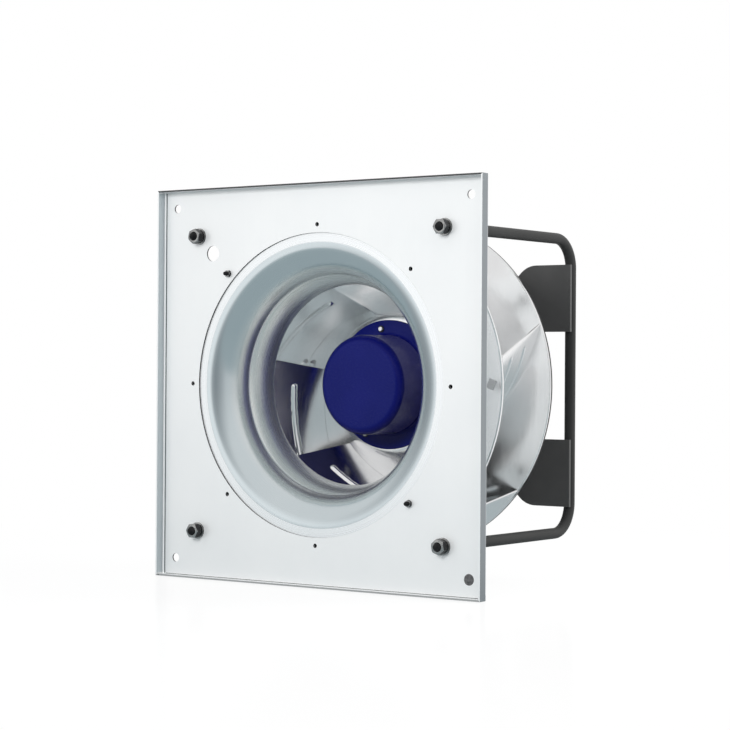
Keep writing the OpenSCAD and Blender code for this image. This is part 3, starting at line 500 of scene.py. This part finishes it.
def put_mesh(name, shells, slot, body, sharp=38.0, replaced=(), finish=None):
    """Makes one piece from shells, each an array of points in mm and its quads, in the finish of its slot
    or one of its own.

    Points that coincide are welded, so seams and poles close, and quads that lose a corner become
    triangles. Faces are turned so that the enclosed volume is positive.
    """
    counts = np.cumsum([0] + [len(points.reshape(-1, 3)) for points, _ in shells])
    points = np.concatenate([points.reshape(-1, 3) for points, _ in shells])
    quads = np.concatenate([faces + start for (_, faces), start in zip(shells, counts)])
    cells = np.round(points * WELD_CELLS).astype(np.int64)
    _, first, where = np.unique(cells, axis=0, return_index=True, return_inverse=True)
    points, quads = points[first], where.reshape(-1)[quads]
    lost = quads == np.roll(quads, -1, axis=1)
    full, short = quads[lost.sum(1) == 0], quads[lost.sum(1) == 1]
    corner = lost[lost.sum(1) == 1].argmax(1)[:, None]
    tris = np.take_along_axis(short, (corner + 1 + np.arange(3)) % 4, 1)

    def volume(faces):
        """Six times the volume between triangles and the origin: the box product of their corners, added up."""
        a, b, c = (points[faces[:, k]] for k in range(3))
        return float((a * np.cross(b, c)).sum())

    if volume(full[:, :3]) + volume(full[:, [0, 2, 3]]) + volume(tris) < 0:
        full, tris = full[:, ::-1], tris[:, ::-1]
    corners = np.concatenate([full.ravel(), tris.ravel()]).astype(np.int32)
    starts = [np.arange(len(full)) * 4, len(full) * 4 + np.arange(len(tris)) * 3]
    starts = np.concatenate(starts).astype(np.int32)
    mesh = bpy.data.meshes.new(name)
    mesh.vertices.add(len(points))
    mesh.vertices.foreach_set("co", (points * MM).astype(np.float32).ravel())
    mesh.loops.add(len(corners))
    mesh.loops.foreach_set("vertex_index", corners)
    mesh.polygons.add(len(starts))
    mesh.polygons.foreach_set("loop_start", starts)
    mesh.update(calc_edges=True)
    mesh.validate()
    mesh.polygons.foreach_set("use_smooth", np.ones(len(mesh.polygons), bool))
    mesh.set_sharp_from_angle(angle=math.radians(sharp))
    mesh.materials.append(finish or finishes[slot])
    piece = bpy.data.objects.new(name, mesh)
    scene.collection.objects.link(piece)
    if replaced:
        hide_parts(*replaced)
    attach(piece, body)


def arc(centre, radius, first, last, count):
    """Points of an arc in the radius and depth plane, angles in degrees."""
    turn = np.radians(np.linspace(first, last, count))
    return np.stack([centre[0] + radius * np.cos(turn), centre[1] + radius * np.sin(turn)], 1)


def line(*points, step=4.0):
    """Points along straight runs, about one step apart."""
    runs = []
    for a, b in zip(points[:-1], points[1:]):
        count = max(2, int(math.dist(a, b) / step) + 2)
        runs.append(np.linspace(a, b, count)[:-1])
    return np.concatenate(runs + [np.array([points[-1]], float)])


def full_turn(steps):
    """Angles of a full turn in even steps, without the last."""
    return np.arange(steps) * 2 * np.pi / steps


def around(middle, r, y, turn):
    """Points at radius r and depth y, turned about a line along Y: x = r cos t, z = r sin t."""
    return np.stack([middle[0] + r * np.cos(turn), y + 0 * turn, middle[1] + r * np.sin(turn)], -1)


def capped(points, first, last):
    """Rings of points, with a row at each end that lies on one point and so closes it."""
    ends = [np.broadcast_to(np.array(end), (1, points.shape[1], 3)) for end in (first, last)]
    return np.concatenate([ends[0], points, ends[1]])


def turned(profile, steps, closed=True, middle=(0.0, 0.0)):
    """Profile of radius and depth turned about a line along Y."""
    points = around(middle, profile[:, :1], profile[:, 1:], full_turn(steps))
    return points, grid_quads(len(profile), steps, closed, True)


# inlet nozzle

def hole_ring(inner_r, outer_r, depth, count, steps):
    """Flat ring with a circle of holes, as one patch a hole: straight lines from the hole's edge to the
    patch's outline, which runs along both circles and halfway to the next holes."""
    half = np.pi / count
    side = np.linspace(-half, half, steps + 1)
    across = np.linspace(inner_r, outer_r, 9)
    outline = np.concatenate([
        np.stack([np.full(steps, outer_r), side[:-1]], 1),
        np.stack([across[:0:-1], np.full(8, half)], 1),
        np.stack([np.full(steps, inner_r), side[:0:-1]], 1),
        np.stack([across[:-1], np.full(8, -half)], 1)])
    flat = np.stack([outline[:, 0] * np.cos(outline[:, 1]), outline[:, 0] * np.sin(outline[:, 1])], 1)
    toward = flat - np.array([GUARD_R, 0.0])
    edge = np.array([GUARD_R, 0.0]) + GUARD_HOLE_R * toward / np.linalg.norm(toward, axis=1)[:, None]
    share = np.array([0.0, 0.15, 0.5, 1.0])[:, None, None]
    patch = edge * (1 - share) + flat * share
    shells = []
    for turn in np.arange(count) * 2 * half:
        x = patch[..., 0] * np.cos(turn) - patch[..., 1] * np.sin(turn)
        z = patch[..., 0] * np.sin(turn) + patch[..., 1] * np.cos(turn)
        shells.append((np.stack([x, np.full_like(x, depth), z], -1), grid_quads(4, len(flat))))
    return shells


def make_nozzle():
    """Spun nozzle: a flat ring, a quarter-circle bell to a sharp crease and a waisted throat, in sheet."""
    steps, count = 32, 8
    flare = 2 * math.atan(THROAT_FLARE / THROAT_LENGTH)
    curve = THROAT_LENGTH / math.sin(flare)
    bell, throat = (BELL_FLAT_R, BELL_Z), (THROAT_R + curve, THROAT_Z)
    turn = math.degrees(flare)
    front = np.concatenate([
        arc(bell, BELL_RADIUS, 270, 180, 33),
        arc(throat, curve, 180 + turn, 180, 21)[1:],
        arc((THROAT_R + NOZZLE_SHEET / 2, THROAT_Z), NOZZLE_SHEET / 2, 180, 0, 9)[1:-1],
        arc(throat, curve - NOZZLE_SHEET, 180, 180 + turn, 21),
        arc(bell, BELL_RADIUS - NOZZLE_SHEET, 180, 270, 33)])
    front_ring = hole_ring(BELL_FLAT_R, NOZZLE_OUTER_R, PLATE_SHEET, count, steps)
    back_ring = [(points, faces[:, ::-1]) for points, faces in
                 hole_ring(BELL_FLAT_R, NOZZLE_OUTER_R, NOZZLE_BACK, count, steps)]
    walls = []
    for (near, _), (far, _) in zip(front_ring, back_ring):
        walls.append((np.stack([far[0], near[0]]), grid_quads(2, near.shape[1])))
    body = turned(front, steps * count, closed=False)
    rim = np.array([[NOZZLE_OUTER_R, NOZZLE_BACK], [NOZZLE_OUTER_R, PLATE_SHEET]])
    rim = turned(rim, steps * count, closed=False)
    put_mesh("nozzle_shell", [body, rim] + front_ring + back_ring + walls, "nozzle_steel", "frame",
             replaced=["inlet_nozzle"])


# impeller discs and rotor

def make_shroud():
    """Shroud: a short collar, a bend, a shallow cone and a forward lip, in sheet of even thickness."""
    bend = (COLLAR_R + SHROUD_BEND, SHROUD_BEND_Z)
    lip_r, lip_z = IMPELLER_R - SHROUD_SHEET, SHROUD_RIM_Z - SHROUD_LIP
    join_z = SHROUD_RIM_Z - SHROUD_SHEET * (math.tan(SHROUD_TURN) + 1 / math.cos(SHROUD_TURN))
    inner = arc(bend, SHROUD_BEND, 180, 90 + SHROUD_SLOPE, 17)
    outer = arc(bend, SHROUD_BEND - SHROUD_SHEET, 90 + SHROUD_SLOPE, 180, 17)
    collar = arc((COLLAR_R + SHROUD_SHEET / 2, COLLAR_Z + SHROUD_SHEET / 2), SHROUD_SHEET / 2, 360, 180, 9)
    edge = arc((IMPELLER_R - RIM_ROUND, SHROUD_RIM_Z - RIM_ROUND), RIM_ROUND, 78 + SHROUD_SLOPE, 0, 7)
    profile = np.concatenate([
        collar, inner, line(inner[-1], edge[0], step=8.0)[1:-1], edge,
        [[IMPELLER_R, lip_z], [lip_r, lip_z], [lip_r, join_z]],
        line([lip_r, join_z], outer[0], step=8.0)[1:-1], outer])
    put_mesh("shroud_disc", [turned(profile, 360)], "impeller_aluminium", "rotor",
             replaced=["impeller_shroud"], finish=disc_sheet)


def make_back_plate():
    """Back plate: a flat hub ring, a cone and a backward lip, in sheet of even thickness."""
    bore = ROTOR_R + 0.1
    lean = math.atan(BACK_SLOPE)
    shift = np.array([-BACK_SHEET * math.sin(lean), BACK_SHEET * math.cos(lean)])
    rim_r, soft = IMPELLER_R - RIM_ROUND, 0.6
    rim = np.array([rim_r, BACK_Z + (rim_r - BACK_HUB_R) * BACK_SLOPE])
    knee = np.array([BACK_HUB_R, BACK_Z])
    inside = IMPELLER_R - BACK_SHEET
    back_rim = np.array([inside, BACK_Z + shift[1] + (inside - BACK_HUB_R - shift[0]) * BACK_SLOPE])
    lip_z = BACK_RIM_Z + BACK_LIP
    profile = np.concatenate([
        line([bore, BACK_Z], knee), line(knee, rim, step=8.0)[1:],
        arc((rim_r, rim[1] + RIM_ROUND), RIM_ROUND, -60, 0, 6),
        [[IMPELLER_R, lip_z - soft], [IMPELLER_R - soft, lip_z], [inside + soft, lip_z], [inside, lip_z - soft]],
        line(back_rim, knee + shift, step=8.0),
        line([BACK_HUB_R - 1.0, BACK_Z + BACK_SHEET], [bore, BACK_Z + BACK_SHEET])])
    put_mesh("back_disc", [turned(profile, 360)], "impeller_aluminium", "rotor",
             replaced=["impeller_back_plate"], finish=disc_sheet)


def make_rotor():
    """Rotor bell: a flat nose with a round edge, a straight wall, a filleted flange and the inside with its
    boss and the bore for the shaft."""
    fillet, edge, cavity, boss_r, bore_r = 4.0, 0.6, ROTOR_FRONT_Z + ROTOR_WALL + 1, 17.0, 10.02
    boss_end, bore_z, inside = cavity + 16, cavity + 1, ROTOR_R - ROTOR_WALL
    profile = np.concatenate([
        line([0.0, ROTOR_FRONT_Z], [ROTOR_R - ROTOR_EDGE, ROTOR_FRONT_Z], step=6.0)[:-1],
        arc((ROTOR_R - ROTOR_EDGE, ROTOR_FRONT_Z + ROTOR_EDGE), ROTOR_EDGE, 270, 360, 25),
        arc((ROTOR_R + fillet, ROTOR_FLANGE_Z - fillet), fillet, 180, 90, 13),
        arc((ROTOR_FLANGE_R - edge, ROTOR_FLANGE_Z + edge), edge, 270, 360, 5),
        arc((ROTOR_FLANGE_R - edge, BACK_Z - edge), edge, 0, 90, 5),
        [[ROTOR_R, BACK_Z], [ROTOR_R, ROTOR_END_Z], [inside, ROTOR_END_Z], [inside, cavity], [boss_r, cavity],
         [boss_r, boss_end], [bore_r, boss_end], [bore_r, bore_z], [0.0, bore_z]]])
    put_mesh("rotor_cup", [turned(profile, 192, closed=False)], "rotor_paint", "rotor", replaced=["rotor_bell"])


# blades

def blade_place(angle, height, radius):
    """Point on the blade's leaning cylinder, from angle, height along its axis and radius, in world mm."""
    x, y = radius * np.cos(angle), radius * np.sin(angle)
    u = x * math.cos(BLADE_LEAN) + height * math.sin(BLADE_LEAN)
    w = -x * math.sin(BLADE_LEAN) + height * math.cos(BLADE_LEAN)
    c, s = math.cos(BLADE_LEAN_DIR), math.sin(BLADE_LEAN_DIR)
    local_x, local_y = BLADE_POLE[0] + u * c - y * s, BLADE_POLE[1] + u * s + y * c
    return np.stack([local_x, BLADE_DEPTH + w, -local_y], -1)


def back_line(r):
    """Depth of the back plate's front face at radius r."""
    return BACK_Z + (r - BACK_HUB_R) * BACK_SLOPE - BLADE_SEAT


def shroud_line(r):
    """Depth of a blade's front edge at radius r: the shroud's cone, a straight run over its bend, and a
    short run back to the nose of the blade."""
    front_r, front_z = COLLAR_R + 2.5, SHROUD_BEND_Z + 0.8 * SHROUD_BEND
    cone = SHROUD_CONE_Z + (r - SHROUD_CONE_R) * math.tan(SHROUD_TURN) + BLADE_SEAT
    run = front_z + (r - front_r) * (SHROUD_CONE_Z + BLADE_SEAT - front_z) / (SHROUD_CONE_R - front_r)
    nose = front_z + (front_r - r) * (BLADE_NOSE_Z - front_z) / (front_r - BLADE_NOSE_R)
    return np.where(r < front_r, nose, np.where(r < SHROUD_CONE_R, run, cone))


def blade_edge(depth_at, outer_r, inner_r, count):
    """Angles and heights along the line where the blade's cylinder meets a disc, from its outer to its inner
    radius. The height is found by halving, because the depth grows steadily with it."""
    angle = np.radians(np.linspace(*BLADE_ANGLES, 600))
    low, high = (np.full_like(angle, height) for height in BLADE_HEIGHTS)
    for _ in range(48):
        middle = (low + high) / 2
        p = blade_place(angle, middle, BLADE_R)
        behind = p[:, 1] > depth_at(np.hypot(p[:, 0], p[:, 2]))
        low, high = np.where(behind, low, middle), np.where(behind, middle, high)
    p = blade_place(angle, high, BLADE_R)
    r = np.hypot(p[:, 0], p[:, 2])
    keep = np.argmax(r < outer_r + 12)
    r, angle, high = r[keep:], angle[keep:], high[keep:]
    order = np.argsort(r)
    ends = np.interp([outer_r, inner_r], r[order], angle[order])
    at = np.linspace(ends[0], ends[1], count)
    return at, np.interp(at, angle, high)


def bead_rise(angle, height, bead):
    """Height of a pressed bead: a round hill over the distance from the bead's middle line, which is where
    a tilted plane cuts the blade's cylinder."""
    middle, level, half, slope = math.radians(bead[0]), bead[1], math.radians(bead[2]), math.radians(bead[3])
    reach = math.asin(math.sin(half) / math.cos(slope))
    along = np.clip(angle - middle, -reach, reach)
    rest = height - level - math.tan(slope) * BLADE_R * np.sin(along)
    off = np.hypot(BLADE_R * (angle - middle - along), rest * math.cos(slope))
    return BEAD_RISE * np.clip(1 - (off / BEAD_HALF) ** 2, 0, 1) ** 1.1


def make_blade(index):
    """One blade: straight lines on the cylinder's own chart between its two disc edges, with two beads
    pressed towards the axis, as two faces a sheet apart and the four narrow edges between them."""
    across, down = 230, 124
    root_angle, root_height = blade_edge(back_line, IMPELLER_R - 1, BLADE_INNER_R, across)
    tip_angle, tip_height = blade_edge(shroud_line, IMPELLER_R - 1, BLADE_NOSE_R, across)
    share = np.linspace(0, 1, down)[None, :]
    angle = root_angle[:, None] * (1 - share) + tip_angle[:, None] * share
    height = root_height[:, None] * (1 - share) + tip_height[:, None] * share
    rise = np.maximum(bead_rise(angle, height, LONG_BEAD), bead_rise(angle, height, SHORT_BEAD))
    turn = 2 * math.pi * index / BLADE_COUNT
    faces = []
    for side in (-1, 1):
        p = blade_place(angle, height, BLADE_R + side * BLADE_SHEET / 2 - rise)
        x = p[..., 0] * math.cos(turn) - p[..., 2] * math.sin(turn)
        z = p[..., 0] * math.sin(turn) + p[..., 2] * math.cos(turn)
        faces.append(np.stack([x, p[..., 1], z], -1))
    quads = grid_quads(across, down, False, False)
    near, far = (np.concatenate([f[:, 0], f[-1, 1:], f[-2::-1, -1], f[0, -2:0:-1]]) for f in faces)
    edges = (np.stack([far, near]), grid_quads(2, len(near)))
    name = "blade_%d" % (index + 1)
    put_mesh("sheet_" + name, [(faces[0], quads), (faces[1], quads[:, ::-1]), edges], "impeller_aluminium", "rotor",
             replaced=[name])


# bars, studs and nuts

def threaded_rod(middle, radius, pitch, first, last, depth, chamfer):
    """Rod along Y with a screw thread: the radius falls by a triangle wave of depth and angle, and tapers at
    the free end."""
    steps, rows = 48, int((last - first) / pitch * 10) + 2
    turn = full_turn(steps)
    y = np.linspace(first, last, rows)[:, None]
    wave = np.abs(((y / pitch - turn / (2 * np.pi)) % 1.0) - 0.5) * 2
    r = np.minimum(radius - depth * wave, radius - chamfer + (y - first))
    ends = ([middle[0], at, middle[1]] for at in (first, last))
    return capped(around(middle, r, y, turn), *ends), grid_quads(rows + 2, steps)


def hex_nut(middle, flats, bore, first, last, turn):
    """Nut along Y: a hexagon whose corners are cut by a cone at each end, with a chamfered bore."""
    steps = 96
    angle = full_turn(steps)
    hexagon = flats / 2 / np.cos((angle % (np.pi / 3)) - np.pi / 6)
    bevel, lead, cone_r, cone_slope = 0.085 * flats, 0.04 * flats, flats / 2 * 0.96, 1.9
    depth = np.concatenate([np.linspace(0, bevel, 7), np.linspace(last - first - bevel, last - first, 7)])
    end = np.minimum(depth, last - first - depth)
    outer = np.minimum(hexagon[None, :], (cone_r + end * cone_slope)[:, None])
    ring = np.ones((1, steps))
    r = np.concatenate([(bore + lead) * ring, outer, (bore + lead) * ring, bore * ring, bore * ring])
    y = first + np.concatenate([[0], depth, [last - first, last - first - lead, lead]])[:, None]
    return around(middle, r, y, angle + turn), grid_quads(len(r), steps, True)


def washer(middle, outer, bore, first, last):
    """Flat ring with slightly rounded outer edges."""
    soft = 0.25
    profile = np.concatenate([
        [[bore, first]], arc((outer - soft, first + soft), soft, 270, 360, 4),
        arc((outer - soft, last - soft), soft, 0, 90, 4), [[bore, last]]])
    return turned(profile, 64, middle=middle)


def bar_sweep(side):
    """Bent bar: a circle carried along two straight legs, two quarter bends and the upright."""
    bend_y, bend_z = BAR_DEPTH - BAR_BEND, BAR_PLACE - BAR_BEND
    turn = np.radians(np.linspace(90, 0, 25))
    leg = np.linspace(PLATE_SHEET, bend_y, 12)[:-1]
    upper = np.stack([bend_y + BAR_BEND * np.cos(turn), bend_z + BAR_BEND * np.sin(turn)], 1)
    half = np.concatenate([np.stack([leg, np.full_like(leg, BAR_PLACE)], 1), upper])
    path = np.concatenate([half, np.linspace([BAR_DEPTH, bend_z], [BAR_DEPTH, -bend_z], 14)[1:-1],
                           half[::-1] * [1, -1]])
    run = np.gradient(path, axis=0)
    run[0], run[-1] = [1, 0], [-1, 0]
    run /= np.linalg.norm(run, axis=1)[:, None]
    across = np.stack([-run[:, 1], run[:, 0]], 1)
    steps = 48
    angle = full_turn(steps)
    x = side * BAR_PLACE + BAR_R * np.cos(angle)[None, :] + 0 * path[:, :1]
    y = path[:, :1] + BAR_R * np.sin(angle)[None, :] * across[:, :1]
    z = path[:, 1:] + BAR_R * np.sin(angle)[None, :] * across[:, 1:]
    ends = ([side * BAR_PLACE, *p] for p in (path[0], path[-1]))
    return capped(np.stack([x, y, z], -1), *ends), grid_quads(len(path) + 2, steps)


def circle_places(radius, angles):
    """Places on a circle round the fan axis, from angles in degrees."""
    turns = [math.radians(angle) for angle in angles]
    return [(radius * math.cos(turn), radius * math.sin(turn)) for turn in turns]


def make_frame_parts():
    """Bars with their studs, and the washers and nuts in front of the plate."""
    for side, name in ((-1, "left"), (1, "right")):
        put_mesh("bent_bar_" + name, [bar_sweep(side)], "frame_coat", "frame", replaced=["support_bar_" + name])
    places = [(sx * BAR_PLACE, sz * BAR_PLACE) for sx in (-1, 1) for sz in (-1, 1)]
    studs = [threaded_rod(p, STUD_R, pitch=1.5, first=-STUD_REACH, last=PLATE_SHEET, depth=0.75, chamfer=1.4)
             for p in places]
    put_mesh("bar_studs", studs, "fastener_steel", "frame", sharp=60.0, finish=thread_black)
    bore, top = STUD_R + 0.1, -WASHER_SHEET - SPRING_SHEET
    put_mesh("flat_washers", [washer(p, WASHER_R, bore, -WASHER_SHEET, 0.0) for p in places],
             "fastener_steel", "frame", replaced=["bracket_washers"])
    nuts = [hex_nut(p, NUT_AF, bore, top - NUT_H, top, turn=0.35 * k) for k, p in enumerate(places)]
    put_mesh("hex_nuts", nuts, "fastener_steel", "frame", sharp=30.0, replaced=["bracket_nuts"])


def make_nozzle_bolts():
    """Small bolts with domed heads behind the nozzle's rim, and their nuts in front of the plate."""
    places = circle_places(GUARD_R, GUARD_BOLT_ANGLES)
    head_r, dome_r, dome_z = 4.25, 4.9, NOZZLE_BACK - 1.6
    head = np.concatenate([[[0.0, NOZZLE_BACK], [head_r, NOZZLE_BACK]], arc((0.0, dome_z), dome_r, 26, 90, 9)])
    rods = [threaded_rod(p, 2.5, pitch=0.8, first=-9.0, last=NOZZLE_BACK, depth=0.4, chamfer=0.7) for p in places]
    put_mesh("small_bolts", rods + [turned(head, 48, False, p) for p in places],
             "fastener_steel", "frame", sharp=60.0, replaced=["nozzle_bolts"], finish=thread_black)
    nuts = [hex_nut(p, flats=8.0, bore=2.6, first=-4.0, last=0.0, turn=0.5 * k) for k, p in enumerate(places)]
    put_mesh("small_nuts", nuts, "fastener_steel", "frame", sharp=30.0, replaced=["nozzle_nuts"])


def make_hole_plug():
    """Push-in plug in the lower right corner hole: a low dome with a neck through the plate."""
    dome_r, dome_z, rim_r, neck_r, tip_r = 11.5, 9.4, 6.9, 5.4, 4.4
    seat, neck_end, tip = -0.02, PLATE_SHEET + 1, PLATE_SHEET + 3
    profile = np.concatenate([
        arc((0.0, dome_z), dome_r, 270, 306, 9),
        [[rim_r, seat], [neck_r, seat], [neck_r, neck_end], [tip_r, tip], [0.0, tip]]])
    put_mesh("corner_plug", [turned(profile, 48, False, (CORNER_HOLE, -CORNER_HOLE))], "black_rubber", "frame",
             finish=plug_grey)


def make_guard_inserts():
    """Press nuts behind the six free guard holes: short blind sleeves with a dark bore."""
    bore_r, sleeve_r, bore_end, sleeve_end = 2.3, 4.2, NOZZLE_BACK + 4, NOZZLE_BACK + 5
    sleeve = np.array([[0.0, bore_end], [bore_r, bore_end], [bore_r, NOZZLE_BACK], [sleeve_r, NOZZLE_BACK],
                       [sleeve_r, sleeve_end], [0.0, sleeve_end]])
    places = circle_places(GUARD_R, GUARD_FREE_ANGLES)
    put_mesh("guard_inserts", [turned(sleeve, 32, False, p) for p in places], "black_plastic", "frame")


def make_rotor_screws():
    """Rotor screws: a flat head with a rounded edge, painted bright as painted light, on a dark ring that is
    painted shade round the head, with the shank in the flange.
    """
    places = circle_places(ROTOR_SCREW_R, [ROTOR_SCREW_PHASE + 72.0 * k for k in range(5)])
    seat, top, under, shank_end = (ROTOR_FLANGE_Z + step for step in (0.0, -3.3, -0.9, 5.0))
    head_r, shank_r, bore_r, shade_ring_r, shade_ring_h, edge = 2.9, 2.4, 2.5, 4.6, 1.4, 0.7
    head = np.concatenate([
        [[0.0, top]], arc((head_r - edge, top + edge), edge, 270, 360, 8),
        [[head_r, under], [shank_r, under], [shank_r, shank_end], [0.0, shank_end]]])
    collar = np.concatenate([
        [[bore_r, seat]], arc((shade_ring_r - edge, seat - edge), edge, 0, -90, 6), [[bore_r, seat - shade_ring_h]]])
    put_mesh("screw_heads", [turned(head, 40, False, p) for p in places], "bright_steel", "rotor",
             replaced=["rotor_screws"], finish=screw_bright)
    # the dark ring round each head is painted shade
    put_mesh("screw_shade_rings", [turned(collar, 40, True, p) for p in places], "black_plastic", "rotor")


make_nozzle()
make_shroud()
make_back_plate()
make_rotor()
make_rotor_screws()
for blade_index in range(BLADE_COUNT):
    make_blade(blade_index)
make_frame_parts()
make_nozzle_bolts()
make_hole_plug()
make_guard_inserts()


# stage, light and camera

def make_floor():
    """Floor under the plate. The camera and the mirror rays that look behind the fan see it white, with a
    faint shadow. In front of the fan, where the photo doesn't reach, mirror rays find a cool grey that gives
    way to the surround further off, and what it throws back on the metal is the same grey."""
    level = -PLATE_HALF * MM - 0.0005
    corners = [(x * FLOOR_HALF, y * FLOOR_HALF, level) for x, y in ((-1, -1), (1, -1), (1, 1), (-1, 1))]
    mesh = bpy.data.meshes.new("floor")
    mesh.from_pydata(corners, [], [(0, 1, 2, 3)])
    floor = bpy.data.objects.new("floor", mesh)
    scene.collection.objects.link(floor)
    paint = bpy.data.materials.new("floor_white")
    paint.use_nodes = True
    wires = Wiring(paint.node_tree)
    path = wires.add("LightPath").outputs
    place = wires.add("TexCoord").outputs["Object"]
    away = wires.add("VectorMath", operation="LENGTH", Vector=place).outputs["Value"]
    behind = wires.span(wires.split(place)[1], 0.0, 1.0, 0.15, 0.5)
    tint = wires.mix(path["Is Camera Ray"], (0.31, 0.345, 0.36), WHITE)
    diffuse = wires.add("BsdfDiffuse", Color=tint).outputs[0]
    polish = wires.add("BsdfGlossy", Color=WHITE, Roughness=0.15).outputs[0]
    satin = wires.mix_shaders(wires.add("Fresnel", IOR=1.9).outputs[0], diffuse, polish)
    white, grey = (wires.add("Emission", Color=c, Strength=1.0).outputs[0] for c in (WHITE, (0.41, 0.47, 0.49)))
    shown = wires.times(wires.white_rays(path, behind), wires.span(away, 0.84, 1.0, 0.35, 1.1))
    seen = wires.mix_shaders(shown, satin, white)
    clear = wires.add("BsdfTransparent").outputs[0]
    mirrored = wires.mix_shaders(wires.span(away, 0.0, 1.0, 1.4, 2.1), grey, clear)
    ahead = wires.times(path["Is Glossy Ray"], wires.minus(1.0, behind))
    wires.add("OutputMaterial", Surface=wires.mix_shaders(ahead, seen, mirrored))
    mesh.materials.append(paint)


def make_world():
    """White studio: the camera, and mirror rays that look behind the fan, see plain white. The light comes
    from a wide surround that is darker in front of the fan, where the room is, and at its sides: a level for
    each azimuth, a little cooler where it is darker, and one grey overhead."""
    world = bpy.data.worlds.new("studio")
    scene.world = world
    world.use_nodes = True
    wires = Wiring(world.node_tree)
    x, y, z = wires.split(wires.add("TexCoord").outputs["Generated"])
    turn = wires.math("ARCTAN2", x, wires.times(y, -1.0))
    ramp = wires.add("ValToRGB")
    graded = wires.fill(ramp, wires.plus(wires.math("DIVIDE", turn, 2 * math.pi), 0.5))
    stops = ramp.color_ramp.elements
    while len(stops) < len(SURROUND):
        stops.new(0.5)
    for stop, (azimuth, level) in zip(stops, SURROUND):
        stop.position = azimuth / 360 + 0.5
        stop.color = (level - 0.03 * (1 - level), level, level + 0.02 * (1 - level), 1.0)
    light = wires.mix(wires.span(z, 0.0, 1.0, 0.06, 0.40), graded, (0.74, 0.74, 0.74))
    surround = wires.add("Background", Color=light, Strength=1.1).outputs[0]
    white = wires.add("Background", Color=WHITE, Strength=1.0).outputs[0]
    shown = wires.white_rays(wires.add("LightPath").outputs, wires.span(y, 0.0, 1.0, 0.6, 0.8))
    wires.add("OutputWorld", Surface=wires.mix_shaders(shown, surround, white))


def make_lamp(name, place, aim, size, power, spread=180.0):
    """Square soft lamp at a place, turned to a point."""
    lamp = bpy.data.lights.new(name, "AREA")
    lamp.shape = "SQUARE"
    lamp.size = size
    lamp.energy = power
    lamp.spread = math.radians(spread)
    made = bpy.data.objects.new(name, lamp)
    made.location = place
    made.rotation_euler = (Vector(aim) - Vector(place)).to_track_quat("-Z", "Y").to_euler()
    made.visible_glossy = False
    scene.collection.objects.link(made)


def make_camera():
    """Camera at the photo's place: azimuth 35.6 degrees, level, turned a little about its own axis. The middle
    of the plate's front face lands on centre_px."""
    frame_px, focal_px, distance, centre_px = 730.0, 2091.76, 2588.87, (316.19, 385.33)
    azimuth, elevation, roll = (math.radians(a) for a in (35.635, -0.0518, -0.3668))
    level = math.cos(elevation)
    back = Vector((math.sin(azimuth) * level, -math.cos(azimuth) * level, math.sin(elevation)))
    right = Vector((math.cos(azimuth), math.sin(azimuth), 0.0))
    up = back.cross(right)
    aim_x = (centre_px[0] - frame_px / 2) / focal_px * distance
    aim_y = (frame_px / 2 - centre_px[1]) / focal_px * distance
    place = (distance * back - aim_x * right - aim_y * up) * MM
    turned_right = right * math.cos(roll) - up * math.sin(roll)
    turned_up = right * math.sin(roll) + up * math.cos(roll)
    lens = bpy.data.cameras.new("photo_camera")
    lens.sensor_width = 36.0
    lens.lens = focal_px / frame_px * lens.sensor_width
    lens.clip_start, lens.clip_end = 0.05, 100.0
    camera = bpy.data.objects.new("photo_camera", lens)
    columns = Matrix((turned_right, turned_up, back)).transposed()
    camera.matrix_world = Matrix.Translation(place) @ columns.to_4x4()
    scene.collection.objects.link(camera)
    scene.camera = camera


make_floor()
make_world()
make_lamp("key_lamp", place=(0.3, -2.7, 1.1), aim=(0.12, 0.0, 0.28), size=0.9, power=10.5, spread=70.0)
make_lamp("rear_lamp", place=(2.0, 1.7, 1.2), aim=(0.0, 0.1, 0.0), size=1.4, power=65.0)
make_camera()
scene.view_settings.view_transform = "Standard"
